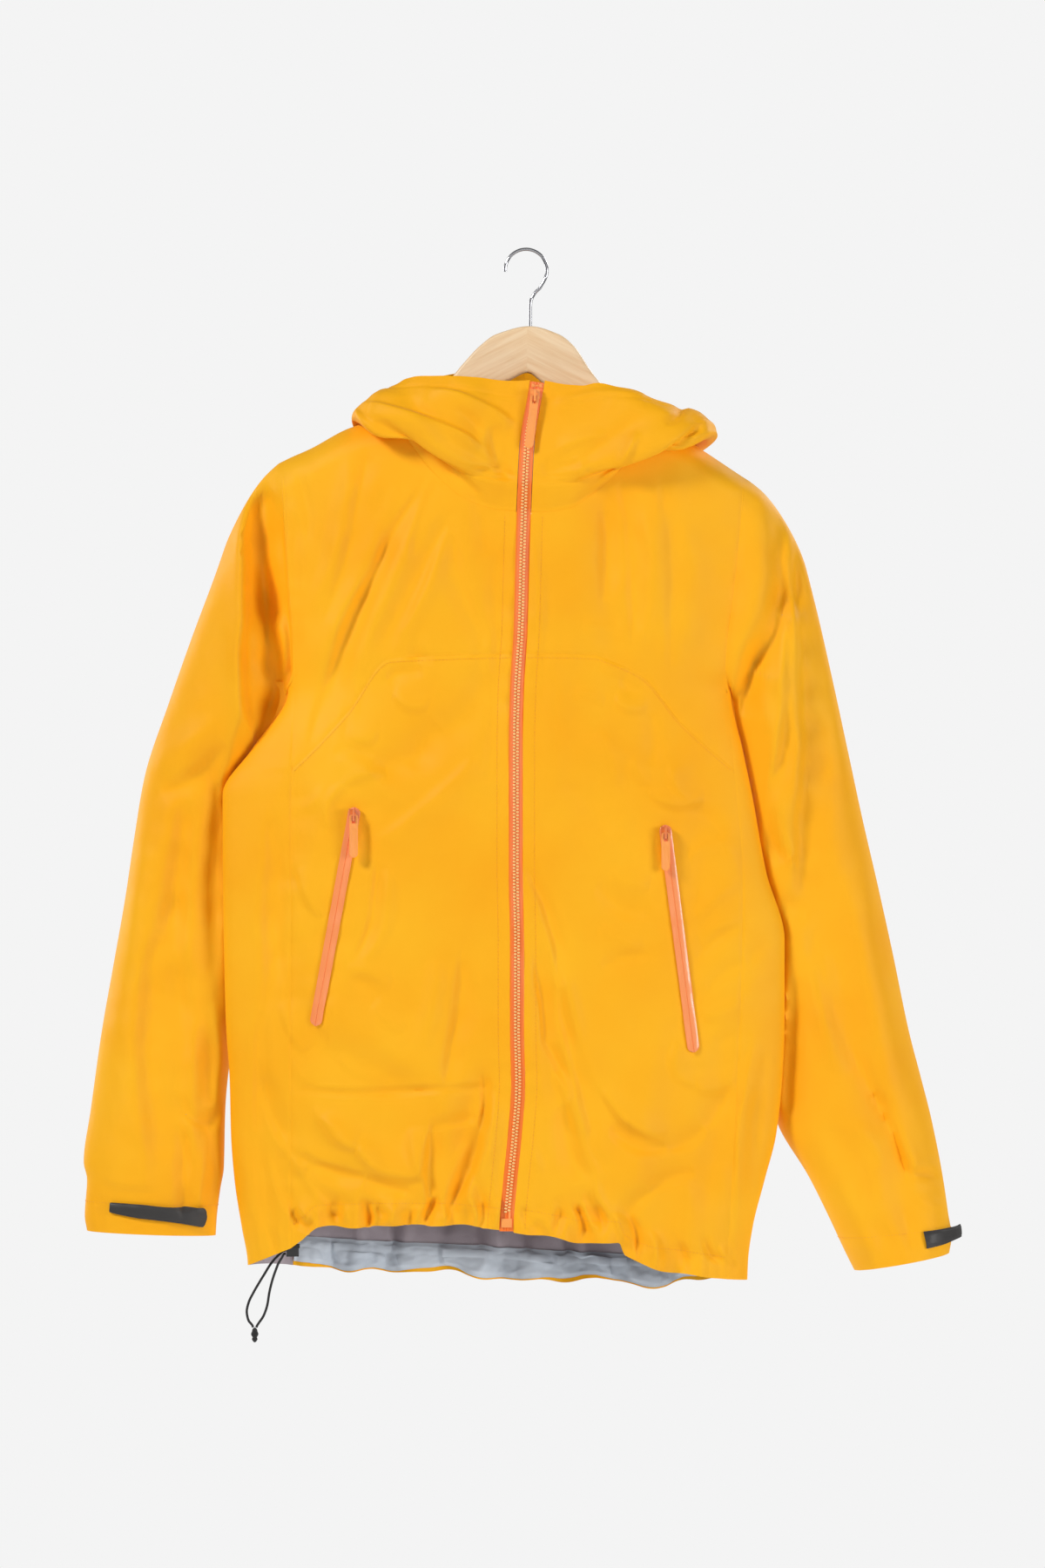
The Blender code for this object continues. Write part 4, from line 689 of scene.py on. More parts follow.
backCreases = (
    (-160, 352, -196, 452, -6, 9, 2.6, 0.3), (150, 352, 178, 446, 6, 9, 2.6, -0.3),
    (-80, 430, -60, 600, 7, 9, -2.6, 0.3), (70, 450, 52, 640, -7, 9, -2.6, 0.3),
    (-120, 640, -150, 780, 5, 8, 2.8, 0.2), (20, 610, 44, 770, 6, 8, 2.6, 0.2), (110, 660, 96, 790, -5, 8, -2.8, 0),
    (-20, 700, -44, 800, -4, 7, -2.8, 0.3), (-137, 309, -100, 384, 5, 8, -2.0, 0.3),
    (118, 309, 88, 384, -5, 8, -2.0, 0.3), (-197, 504, -193, 684, 4, 9, -3.0, 0.3),
    (185, 504, 182, 684, -4, 9, -3.0, -0.3), (-167, 789, -130, 842, 4, 7, -3.6, 0.3),
    (148, 782, 125, 842, -4, 7, -3.6, -0.3), (-62, 774, -70, 849, 3, 8, 3.4, 0),
    (-2, 234, -10, 354, 4, 12, -1.8, 0), (-100, 249, -77, 339, 5, 10, 1.8, 0), (103, 242, 73, 339, -5, 10, 1.8, 0),
    (43, 759, 65, 849, 4, 7, -3.4, 0.2), (5, 789, 10, 849, 2, 7, 3.0, 0),
    (-119, 796, -113, 862, 2, 6, 3.2, 0.4), (-97, 804, -103, 864, -2, 5, -2.8, 0.3),
    (-44, 796, -39, 862, 3, 6, 3.2, 0.4), (-30, 806, -22, 866, 2, 5, -2.6, 0), (9, 800, 2, 866, -2, 5, 2.8, 0.3),
    (31, 800, 37, 868, 2, 6, 3.2, 0.4), (56, 806, 50, 870, -2, 5, -2.8, 0), (-150, 800, -144, 858, 2, 6, -2.8, 0.3),
    (82, 806, 90, 874, 2, 6, 2.8, 0.3),
)

hemCreases = (
    (-202, 826, -187, 842, -2, 4, -3.4, 0.4), (-196, 822, -181, 834, -2, 4, 2.4, 0),
    (-169, 820, -157, 832, -3, 4, -2.8, 0.4), (-158, 816, -155, 834, 1, 4, 2.0, 0),
    (-140, 816, -134, 837, 3, 4, -4.0, 0.4), (-133, 819, -128, 836, 2, 3, 2.8, 0),
    (-127, 820, -116, 828, -2, 3, -2.8, 0), (-113, 819, -118, 836, 1, 5, 2.4, 0),
    (-85, 834, -75, 813, 2, 4, -4.0, -0.4), (-73, 816, -68, 834, 2, 4, 3.0, 0), (-65, 832, -59, 820, 1, 4, -2.6, 0),
    (-47, 813, -41, 837, 2, 5, 2.6, 0.3), (-35, 816, -38, 838, 1, 4, -2.6, 0), (1, 819, 7, 834, -3, 4, -2.8, 0.3),
    (10, 824, 23, 842, 2, 5, 2.4, 0), (31, 822, 28, 843, 1, 4, -2.8, 0), (43, 819, 49, 844, 3, 4, -4.0, 0.4),
    (52, 816, 58, 840, -2, 4, 3.2, 0), (62, 819, 65, 843, 1, 4, -2.6, 0), (77, 826, 82, 852, 1, 5, 3.0, 0.3),
    (89, 830, 94, 861, 2, 4, -3.2, 0.4), (106, 842, 112, 872, 2, 5, 2.6, 0), (130, 852, 136, 876, 1, 5, -2.6, 0.3),
    (152, 849, 166, 870, -3, 4, -3.4, 0.4), (167, 855, 179, 868, -2, 4, 3.0, 0),
    (175, 864, 182, 880, 1, 3, -2.4, 0), (-223, 842, -215, 864, 2, 4, -2.6, 0.3),
    (-232, 834, -226, 867, -1, 4, 2.2, 0), (-182, 825, -188, 843, 1, 4, -2.4, 0),
    (-100, 822, -103, 837, 1, 4, -2.4, 0), (-92, 818, -94, 836, 0, 4, 2.2, 0), (-20, 813, -25, 840, 1, 4, 2.4, 0),
)
sleeveCreases = {
    -1: ((-234, 208, -237, 320, -1, 22, -8.0, 0.8), (-236, 290, -230, 450, -1, 32, -12.0, 0.82),
         (-244, 204, -242, 435, 1, 5, 1.8, -0.3), (-218, 314, -205, 363, 4, 7, 5.0, 0.4),
         (-224, 318, -221, 366, 0, 4, -3.0, 0), (-256, 426, -313, 466, 5, 10, -3.6, 0.4),
         (-268, 405, -320, 444, 4, 12, 2.4, 0), (-295, 472, -314, 602, 5, 12, -4.4, 0.3),
         (-317, 594, -317, 782, -8, 11, -4.2, 0.3), (-284, 489, -286, 706, -3, 9, 3.2, 0.2),
         (-266, 444, -269, 624, 2, 8, -3.2, 0), (-340, 489, -347, 684, 3, 18, 1.6, 0),
         (-298, 729, -274, 754, -4, 5, -3.4, 0.5), (-274, 753, -263, 738, -2, 4, -2.8, 0.3),
         (-278, 730, -265, 735, -3, 6, 2.8, 0.3), (-295, 756, -293, 828, 2, 7, -4.2, 0.3),
         (-275, 759, -280, 822, 2, 6, 3.2, 0.4), (-268, 782, -272, 822, 2, 5, -2.4, 0),
         (-362, 796, -317, 801, -2, 5, 1.6, 0.2), (-370, 813, -364, 840, 2, 5, -1.2, 0),
         (-332, 744, -326, 804, 2, 9, 1.4, 0), (-268, 646, -265, 729, 2, 6, 2.2, 0),
         (-355, 759, -325, 782, 3, 8, -1.2, 0)),
    1: ((232, 234, 235, 556, 6, 16, -7.0, 0.72), (223, 243, 224, 309, 3, 6, 2.6, -0.3),
         (221, 314, 197, 362, 4, 13, -6.0, 0.55), (197, 362, 179, 411, 3, 11, -6.0, 0.3),
         (211, 309, 226, 310, -3, 8, 3.0, 0.4), (221, 326, 215, 422, 3, 9, 2.6, 0.3),
         (227, 321, 212, 460, 5, 10, -3.6, 0.55), (203, 384, 211, 460, 3, 9, 1.6, 0),
         (202, 404, 194, 444, 2, 6, -2.4, 0), (202, 482, 224, 526, -4, 11, -3.2, 0),
         (218, 464, 232, 534, -3, 7, 2.6, 0.2), (211, 561, 241, 576, 4, 8, -4.0, 0),
         (242, 585, 272, 676, -3, 5, -2.2, 0.4), (272, 676, 298, 730, 2, 5, -2.6, 0.4),
         (296, 723, 326, 801, 4, 6, -4.6, 0.5), (305, 736, 335, 796, 4, 7, 3.0, 0),
         (250, 602, 272, 706, -5, 11, 3.4, 0.3), (229, 624, 226, 744, 2, 8, -4.0, 0.2),
         (279, 752, 307, 790, 5, 7, 2.6, 0.4), (260, 752, 290, 826, 4, 11, -2.6, 0),
         (328, 796, 361, 802, 3, 5, -3.0, 0.4), (331, 786, 358, 792, 3, 5, 2.2, 0),
         (335, 813, 367, 822, -2, 5, 1.8, 0), (323, 822, 332, 856, 1, 4, -2.2, 0.3),
         (260, 354, 269, 534, 4, 18, 1.8, 0), (283, 579, 313, 699, 4, 16, 1.6, 0),
         (268, 789, 298, 864, 3, 10, 2.2, 0), (298, 834, 320, 864, 2, 8, -2.0, 0)),
}
hoodFolds = {  # the folds that show on the hood's front, as seen from the front
    -1: ((-131, 134, -40, 172, 4, 8, 4.4, -0.6), (-79, 123, -11, 152, 3, 8, 3.8, -0.6),
         (-32, 156, -13, 206, -3, 8, -3.8, 0.5), (-59, 140, -38, 164, 2, 5, -2.4, 0),
         (-122, 118, -88, 130, 3, 9, -1.8, 0), (-62, 114, -32, 136, 2, 9, 1.6, 0),
         (-23, 189, -47, 204, -3, 7, -2.6, 0.2), (-43, 208, -10, 213, 2, 5, 1.6, 0)),
    1: ((122, 154, 136, 129, -3, 5, -3.0, 0.4), (140, 135, 157, 160, 3, 6, 3.0, 0.3),
         (28, 177, 68, 162, 4, 7, 2.2, 0.3),
         (14, 186, 37, 208, -3, 7, -2.8, 0.5), (25, 136, 103, 130, 4, 10, 2.4, -0.5), (17, 204, 40, 204, 3, 6, 1.6, 0),
         (77, 189, 94, 160, -2, 4, 3.4, 0.2), (28, 118, 73, 136, -4, 10, -1.4, 0),
         (43, 180, 49, 201, 2, 5, 2.6, 0.4)),
}
hoodCreases = {  # angle times 1.3 and share times 180 stand for millimetres here
    -1: ((22, 20, 70, 96, 4, 8, -2.6, 0.3),
         (50, 60, 100, 108, 3, 7, 2.4, 0.3),
         (8, 90, 60, 150, 5, 9, -1.8, 0.3),
         (120, 60, 190, 110, 6, 10, -2.4, 0.3),
         (140, 120, 220, 140, -6, 10, 2.4, 0.3)),
    1: ((60, 52, 92, 120, 3, 6, -3.2, 0.3),
        (40, 24, 86, 74, 4, 8, 2.4, 0.3),
        (12, 96, 56, 150, 5, 9, -1.8, 0.3),
        (120, 60, 190, 110, 6, 10, 2.4, 0.3),
        (140, 120, 220, 140, -6, 10, -2.4, 0.3)),
}


# Surfaces
bodyFaces = {  # what differs between the front and the back of the body: seeds for yoke, hem, armhole and unrest
    -1: {"depth": "front", "folds": frontFolds, "creases": frontCreases, "gathers": frontGathers,
         "hem": hemFront, "yoke": yokeFront, "seeds": (3, 5, 9, 1, 2), "small": 0.30, "smallSize": 24},
    1: {"depth": "back", "folds": backFolds, "creases": backCreases, "gathers": backGathers,
        "hem": hemBack, "yoke": yokeBack, "seeds": (4, 6, 17, 8, 9), "small": 0.18, "smallSize": 23},
}


def sideFold(side, drop):
    return lookUp(sections, "left" if side > 0 else "right", drop)


def zipDetail(x, drop):  # the narrow creases of the front hem, and the cloth beside the three zips
    height = jacket["hemCrease"] * creaseHeight(hemCreases, x, drop)
    centre = np.abs(x - lookUp(sections, "centre", drop))
    height += seamDip(centre - jacket["facing"], depth=0.35, half=1.6)\
        + 0.4 * puckers(7, centre - 10, drop, reach=12, size=34)
    for side, ends in pockets.items():
        top, bottom = np.array(ends["top"], float), np.array(ends["bottom"], float)
        run = bottom - top
        length = np.hypot(*run)
        along = np.clip(((x - top[0]) * run[0] + (drop - top[1]) * run[1]) / length, 0, length)
        near = np.hypot(x - top[0] - run[0] * along / length, drop - top[1] - run[1] * along / length)
        height += 0.5 * puckers(13 + side, near - 8, drop, reach=12, size=27)
    return height


def faceDetail(face, x, drop):
    look = bodyFaces[face]
    yokeSeed, hemSeed, armSeed, broadSeed, smallSeed = look["seeds"]
    depth, half, pucker = jacket["seamDepth"], jacket["seamHalf"], jacket["pucker"]
    height = creaseHeight(look["creases"], x, drop) + gatherHeight(look["gathers"], look["hem"], x, drop)
    yoke = drop - lineAt(look["yoke"], x)
    height += seamDip(yoke, depth, half) + pucker * puckers(yokeSeed, yoke, x, reach=16, size=21)
    hem = lineAt(look["hem"], x) - drop
    height += turnedHem(hem - jacket["hemSeam"]) + 0.5 * puckers(hemSeed, hem - 10, x, reach=14, size=12)
    if face < 0:
        height += zipDetail(x, drop)
    for side, armhole in armholes.items():
        edge = np.abs(x - lookUp(armhole, "seam", drop))
        height += seamDip(edge, depth, half) + pucker * puckers(armSeed + side, edge, drop, reach=14, size=25)
    broad = jacket["unrest"] * ripples(broadSeed, x, drop, size=70, stretch=1.8)
    return height + broad + look["small"] * ripples(smallSeed, x, drop, look["smallSize"], stretch=1.6)


def bodyY(x, drop, face):  # the y of the body's outer face: face is -1 in front, 1 behind
    x, drop = np.broadcast_arrays(np.asarray(x, float), np.asarray(drop, float))
    centre = lookUp(sections, "centre", drop)
    reach = np.where(x > centre, sideFold(1, drop), sideFold(-1, drop)) - centre
    share = np.clip((x - centre) / reach, 0, 1)
    below = np.clip((drop - lineAt(ridge, x)) / jacket["ridgeRound"], 0, 1)
    over = np.sqrt(1 - (1 - below) ** 2)
    folds = foldHeight(bodyFaces[face]["folds"], x, drop) + faceDetail(face, x, drop)
    depth = lookUp(sections, bodyFaces[face]["depth"], drop)
    bulge = (depth * np.sqrt(1 - share**2) + folds * (1 - share**6)) * over
    return lookUp(sections, "forward", drop) * share**2 + face * bulge


def bodyBy(isFront, x, drop):
    return np.where(isFront, bodyY(x, drop, -1), bodyY(x, drop, 1))


def onBody(face, x, drop, proud=0.0):  # points on the front or the back
    return np.stack([x, bodyY(x, drop, face) + face * proud, -drop], -1)


def bodyAt(side, turn, drop):  # turn: 0 at the zip, 90 at the side fold, 180 at the centre back
    centre = lookUp(sections, "centre", drop)
    x = centre + (sideFold(side, drop) - centre) * np.sin(np.radians(turn))
    return np.stack([x, bodyBy(np.asarray(turn) < 90, x, drop), -drop], -1)


def frontTurn(side, name, drop):  # the turn at which the front reaches the armhole's line of this name
    centre = lookUp(sections, "centre", drop)
    x = lookUp(armholes[side], name, drop)
    return np.degrees(np.arcsin(np.clip((x - centre) / (sideFold(side, drop) - centre), 0, 1)))


def armLoop(side, angle):  # the armhole: angle 0 at the shoulder, 90 in front, 180 at the armpit
    top = armTop[side]
    drop = (top + armPit) / 2 - (armPit - top) / 2 * np.cos(np.radians(angle))
    x = lookUp(armholes[side], "arm", drop)
    return np.stack([x, bodyBy(np.sin(np.radians(angle)) > 0, x, drop), -drop], -1)


sleeveLook = {
    "joined": 0.04,         # share of the sleeve above its first ring
    "blend": 0.12,          # share over which the armhole turns into the tube
    "behind": (9, 0, 14),   # how far the folds of the back are shifted from those of the front
    "backRise": 0.6,        # and their height against them
    "hemSeam": 26.0,        # height of the wrist's stitching
}


def sleeveMiddles(side):  # the lengths along the sleeve at which its rings lie
    rows = np.array(sleeveRings[side][1:], float)
    return rows, lengthsAlong((rows[:, 0:2] + rows[:, 2:4]) / 2)


def sleeveLength(side):
    return sleeveMiddles(side)[1][-1] / (1 - sleeveLook["joined"])


def sleeveDetail(side, point, share):
    x, drop = point[..., 0], -point[..., 2]
    height = foldHeight(sleeveFolds[side], x, drop) + creaseHeight(sleeveCreases[side], x, drop)
    height += 0.7 * ripples(20 + side, x, drop, size=60, stretch=2.0)\
        + 0.30 * ripples(23 + side, x, drop, size=22, stretch=1.5)
    above = (1 - share) * sleeveLength(side)
    height += turnedHem(above - sleeveLook["hemSeam"])
    return height + 0.45 * puckers(25 + side, above - sleeveLook["hemSeam"] / 2, x, reach=14, size=17)


def sleeveAt(side, angle, share):  # share: 0 at the armhole, 1 at the wrist
    rows, knots = sleeveMiddles(side)
    knots = sleeveLook["joined"] + (1 - sleeveLook["joined"]) * knots / knots[-1]
    outX, outDrop, inX, inDrop, middle, depth = (readKnots(share, knots, column) for column in rows.T)
    around = np.radians(angle)
    out = (1 + np.cos(around)) / 2
    x = inX + (outX - inX) * out
    tube = np.stack([x, middle - depth * np.sin(around), -(inDrop + (outDrop - inDrop) * out)], -1)
    blend = softStep(share, 0, sleeveLook["blend"])[..., None]
    point = armLoop(side, angle) * (1 - blend) + tube * blend
    inFront = np.clip(np.sin(around) * 1.6, 0, 1) * softStep(share, 0.0, 0.05)
    behind = np.clip(-np.sin(around) * 1.6, 0, 1) * softStep(share, 0.05, 0.3)
    shifted = sleeveDetail(side, point + np.array(sleeveLook["behind"]), share)
    point[..., 1] += sleeveLook["backRise"] * shifted * behind - sleeveDetail(side, point, share) * inFront
    return clearOfSide(side, point, jacket["tuckSpread"] * np.clip(-np.sin(around), 0, 1))


def clearOfSide(side, point, spread):  # beside the body a sleeve stays behind it, as it is tucked
    drop = -point[..., 2]
    edge = sideFold(side, drop)
    inside = (edge - point[..., 0]) * side
    forward = lookUp(sections, "forward", drop)
    limit = np.where(inside > 0, bodyY(point[..., 0], drop, 1), forward + inside) + jacket["tuckGap"]
    pushed = np.maximum(point[..., 1], limit + spread)
    point[..., 1] += (pushed - point[..., 1]) * softStep(drop, armPit - 3, armPit + 9)
    return point


def clearOfBody(point, gap):  # the hood's folds are lifted off the shoulders
    x = point[..., 0]
    drop = -point[..., 2]
    y = point[..., 1]
    face = np.where(y < 0, -1, 1)
    deep = np.maximum(drop, lineAt(ridge, x) + jacket["ridgeRound"])
    full = np.where(face < 0, -bodyY(x, deep, -1), bodyY(x, deep, 1))
    across = np.clip(np.abs(y) / np.maximum(full, 1), 0, 1)
    top = lineAt(ridge, x) + jacket["ridgeRound"] * (1 - np.sqrt(1 - across**2))
    lift = np.clip(drop - (top - gap), 0, None)
    aside = np.clip(full + gap - np.abs(y), 0, None)
    nearCentre = (np.abs(x) < neckX[1] / 2) & (lift > 0)
    sideways = (aside < lift) | nearCentre
    moved = point.copy()
    moved[..., 1] = np.where(sideways, y + face * aside, y)
    moved[..., 2] = np.where(sideways, point[..., 2], point[..., 2] + lift)
    return moved


def hoodAt(side, angle, share):  # angle: 0 at the zip, 180 at the centre back; share: 1 at the opening
    x, stand, sag, over, rise, lean = (lookUp(hoodStations[side], name, angle)
                                       for name in hoodStations[side][0][1:])
    isFront = np.asarray(angle) < 90
    drop = np.where(isFront, lineAt(neckFront, x), lineAt(neckBack, x))
    y = bodyBy(isFront, x, drop)
    zero = np.zeros_like(over)
    knots = (0, 0.06, 0.22, 0.40, 0.50, 0.80, 1)
    outs = (zero - 0.6, zero + 0.4, 0.14 * over, 0.80 * over, over, 0.66 * over + 0.34 * lean, lean)
    ups = (zero - 1.0, zero + 2.2, 0.60 * stand, stand - sag, stand + 0.06 * (rise - stand),
           0.42 * stand + 0.58 * rise, rise)
    out, up = (readKnots(share, knots, np.stack(values, -1)) for values in (outs, ups))
    around = np.radians(angle)
    zipLean = lookUp(sections, "centre", drop - up) - lookUp(sections, "centre", drop)
    zipLean = (zipLean + softStep(up, 60, 112) * 3.0) * (1 - softStep(angle, 0, 60))
    place = [x + side * out * np.sin(around) + zipLean, y - out * np.cos(around), up - drop]
    gap = jacket["hoodLift"] * softStep(share, 0.02, 0.30) - 0.6 * (1 - softStep(share, 0, 0.1))
    return clearOfBody(np.stack(place, -1), gap)


# Meshes. Points are in millimetres until they are a mesh.
def smoothed(mesh, angle):
    mesh.shade_smooth()
    if angle:
        mesh.set_sharp_from_angle(angle=math.radians(angle))


def fromShape(name, shape, finish=None, outwards=False):  # a bmesh made an object
    if outwards:
        bmesh.ops.recalc_face_normals(shape, faces=shape.faces)
    mesh = bpy.data.meshes.new(name)
    shape.to_mesh(mesh)
    shape.free()
    if finish:
        mesh.materials.append(finish)
    return linked(name, mesh)


def bakedMesh(thing):  # its mesh with all its modifiers applied
    graph = bpy.context.evaluated_depsgraph_get()
    graph.update()
    return bpy.data.meshes.new_from_object(thing.evaluated_get(graph))


def applyModifiers(body):
    mesh = bakedMesh(body)
    body.modifiers.clear()
    body.data = mesh
    smoothed(mesh, 35)


def addModifier(body, kind, **settings):
    change = body.modifiers.new(kind.lower(), kind)
    for name, value in settings.items():
        setattr(change, name, value)


def addBevel(body, width, segments, **settings):
    addModifier(body, "BEVEL", width=width * mm, segments=segments, limit_method="ANGLE", **settings)


def cutBy(body, tool, operation="DIFFERENCE"):
    addModifier(body, "BOOLEAN", operation=operation, object=tool, solver="EXACT")


def wire(name, points, radius, roundness, finish):  # a round wire or cord along a line
    curve = bpy.data.curves.new(name, "CURVE")
    curve.dimensions = "3D"
    curve.bevel_depth = radius * mm
    curve.bevel_resolution = roundness
    curve.use_fill_caps = True
    spline = curve.splines.new("POLY")
    spline.points.add(len(points) - 1)
    for point, place in zip(spline.points, points):
        point.co = (*[value * mm for value in place], 1.0)
    curve.materials.append(finish)
    return linked(name, curve)


def meshObject(name, points, faces, finishes, slots=None, corners=None, sharp=None):
    mesh = bpy.data.meshes.new(name)
    mesh.from_pydata((np.asarray(points) * mm).tolist(), [], faces.tolist())
    for finish in finishes:
        mesh.materials.append(finish)
    if slots is not None:
        mesh.polygons.foreach_set("material_index", slots)
    if corners is not None:
        mesh.uv_layers.new(name="cloth").data.foreach_set("uv", corners.reshape(-1))
    shape = bmesh.new()
    shape.from_mesh(mesh)
    bmesh.ops.recalc_face_normals(shape, faces=shape.faces)
    shape.to_mesh(mesh)
    shape.free()
    smoothed(mesh, sharp)
    return linked(name, mesh)


def unit(vectors):
    return vectors / np.maximum(np.linalg.norm(vectors, axis=-1, keepdims=True), 1e-9)


def lengthsAlong(points):  # the length from the first point to each
    return np.concatenate([[0], np.cumsum(np.linalg.norm(np.diff(points, axis=0), axis=1))])


def gridNormals(points, closed=False):
    if closed:
        wide = np.concatenate([points[:, -1:], points, points[:, :1]], axis=1)
        across = (wide[:, 2:] - wide[:, :-2]) / 2
    else:
        across = np.gradient(points, axis=1)
    return unit(np.cross(np.gradient(points, axis=0), across))


def clothUv(points, closed):  # lengths across and down the cloth, in metres, for the weave
    if closed:
        points = np.concatenate([points, points[:, :1]], axis=1)
    across = np.linalg.norm(np.diff(points, axis=1), axis=-1).mean(axis=0)
    down = np.linalg.norm(np.diff(points, axis=0), axis=-1).mean(axis=1)
    return np.concatenate([[0], np.cumsum(across)]) * mm, -np.concatenate([[0], np.cumsum(down)]) * mm


def gridFaces(rows, columns, closed=False):  # one side's quads, and the walls down to the other side
    across = columns if closed else columns - 1
    r, c = np.meshgrid(np.arange(rows - 1), np.arange(across), indexing="ij")
    a, b = r * columns + c, r * columns + (c + 1) % columns
    quads = np.stack([a, b, b + columns, a + columns], -1).reshape(-1, 4)
    top = np.stack([np.arange(across), (np.arange(across) + 1) % columns], -1)
    rims = [top, top[:, ::-1] + (rows - 1) * columns]
    if not closed:
        down = np.stack([np.arange(1, rows) * columns, np.arange(rows - 1) * columns], -1)
        rims += [down, down[:, ::-1] + columns - 1]
    rims = np.concatenate(rims)
    return quads, np.concatenate([rims[:, ::-1], rims + rows * columns], -1)


def twoSided(name, outer, inner, finishes, closed=False, **settings):
    rows, columns = outer.shape[:2]
    quads, walls = gridFaces(rows, columns, closed)
    faces = np.concatenate([quads, quads[:, ::-1] + rows * columns, walls])
    points = np.concatenate([outer.reshape(-1, 3), inner.reshape(-1, 3)])
    return meshObject(name, points, faces, finishes, **settings)


# A sheet of cloth: its outer face and a wall's thickness inside it. turned gives the shares at its
# top and bottom where the cloth is turned in, so that its inside has the outer finish too.
def shell(name, outer, side, finishes, closed=False, thick=None, normals=None, turned=(0, 0)):
    normals = gridNormals(outer, closed) * side if normals is None else normals
    inner = outer - normals * (thick or jacket["wall"])
    u, v = clothUv(outer, closed)
    rows, across = len(v) - 1, len(u) - 1
    r, c = np.meshgrid(np.arange(rows), np.arange(across), indexing="ij")
    corners = np.stack([u[c], v[r], u[c + 1], v[r], u[c + 1], v[r + 1], u[c], v[r + 1]], -1).reshape(-1, 4, 2)
    quads, walls = gridFaces(*outer.shape[:2], closed)
    count = len(quads)
    slots = np.zeros(2 * count + len(walls), int)
    row = np.repeat(np.arange(rows) / rows, across)
    folded = (row < turned[0]) | (row > 1 - turned[1] - 1 / (rows + 1)) & (turned[1] > 0)
    slots[count:2 * count] = np.where(folded, 0, len(finishes) - 1)
    corners = np.concatenate([corners, corners[:, ::-1], np.zeros((len(walls), 4, 2))])
    return twoSided(name, outer, inner, finishes, closed, slots=slots, corners=corners, sharp=66)


# Cloth. share runs across a panel and down runs down it, both from 0 to 1.
def spread(count, crowd=1.0):
    return np.linspace(0, 1, int(count * fine) + 2) ** crowd


def edgeSearch(share, ends, edge):  # the drop of an edge, share of the way between two seams
    drop = np.full_like(share, 400.0)
    for _ in range(16):
        start, end = ends(drop)
        drop = edge(start + (end - start) * share)
    return drop


def panelPoints(face, ends, share, down, top, bottom):
    high, low = edgeSearch(share, ends, top), edgeSearch(share, ends, bottom)
    drop = high + (low - high) * down[:, None]
    start, end = ends(drop)
    return onBody(face, start + (end - start) * share, drop)


def frontEnds(side):
    def ends(drop):
        start = lookUp(sections, "centre", drop) + side * jacket["zipHalf"]
        return start, lookUp(armholes[side], "seam", drop)
    return ends


def backEnds(drop):
    return lookUp(armholes[1], "seam", drop), lookUp(armholes[-1], "seam", drop)


def topEdge(neck, first, last):  # the neckline between two x, and the shoulder's ridge beyond them
    def edge(x):
        return np.where((x > first) & (x < last), lineAt(neck, x), lineAt(ridge, x) + 0.0002)
    return edge


def alongLine(table):
    return lambda x: lineAt(table, x)


# The wavy edge of a gathered hem, even beyond the x named still
hemEdge = {
    -1: {"hem": hemFront, "seed": 1.0, "size": 1.6, "still": 190},
    1: {"hem": hemBack, "seed": 2.0, "size": 3.4, "still": 175},
}


def hemAt(face):
    look = hemEdge[face]
    seed = look["seed"]

    def edge(x):
        wave = np.sin(x / 6.1 + seed) * 0.45 + np.sin(x / 10.7 + 2.3 * seed) * 0.8 + np.sin(x / 23.0 + seed)
        return lineAt(look["hem"], x) + look["size"] * wave / 1.6 * softStep(look["still"] - np.abs(x), 0, 30)
    return edge


def makeFronts(cloth):
    made = []
    share = spread(116)
    for side, word in sides:
        first, last = sorted((side * -1000, neckX[side]))
        neck = topEdge(neckFront, first, last)
        yoke = panelPoints(-1, frontEnds(side), share, spread(84, 1.5), neck, alongLine(yokeFront))
        made.append(shell(f"frontYoke_{word}", yoke, side, cloth))
        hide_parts(f"front_yoke_{word}")
        front = panelPoints(-1, frontEnds(side), share, spread(190), alongLine(yokeFront), hemAt(-1))
        made.append(shell(f"frontPanel_{word}", front, side, cloth))
        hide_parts(f"front_{word}")
    return made


# The grey tape inside the back hem: how tall, how far inside and how thick it is, how loosely it
# lies, how far above the hem it ends, and how much more of the yellow edge shows in places.
hemTape = {"tall": 26.0, "offset": 1.8, "thick": 0.8, "loose": 1.4, "end": 1.4, "shown": 2.4}
tapeCreases = (
    (-193, 860, -182, 878, 2, 4, 2.6, 0.3), (-167, 852, -156, 873, -2, 4, 2.8, 0.3),
    (-133, 855, -140, 880, 2, 4, -2.6, 0), (-111, 862, -103, 884, 2, 4, 2.8, 0.4),
    (-71, 850, -61, 882, -3, 5, 3.2, 0.4), (-36, 862, -42, 884, 2, 4, 2.6, 0),
    (-21, 853, -9, 882, 2, 5, -3.0, 0.3), (28, 862, 36, 888, -2, 4, 3.0, 0.3), (49, 864, 74, 886, 3, 5, 3.0, 0.4),
    (91, 872, 100, 891, -2, 4, 2.6, 0.3), (110, 876, 130, 893, 3, 5, -2.8, 0.3), (-150, 866, -120, 870, 2, 4, 2.2, 0),
    (4, 868, 24, 876, -2, 4, 2.4, 0), (138, 880, 152, 890, 2, 4, 2.4, 0.3),
)


def makeBack(cloth, tape):
    share = spread(200)
    top = topEdge(neckBack, neckX[-1], neckX[1])
    yoke = shell("backYoke", panelPoints(1, backEnds, share, spread(66, 1.5), top, alongLine(yokeBack)), 1, cloth)
    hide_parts("back_yoke")
    points = panelPoints(1, backEnds, share, spread(150), alongLine(yokeBack), hemAt(1))
    panel = shell("backPanel", points, 1, cloth, turned=(0, 0.003))
    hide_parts("back_panel")
    return [yoke, panel, makeTape(share, tape)]


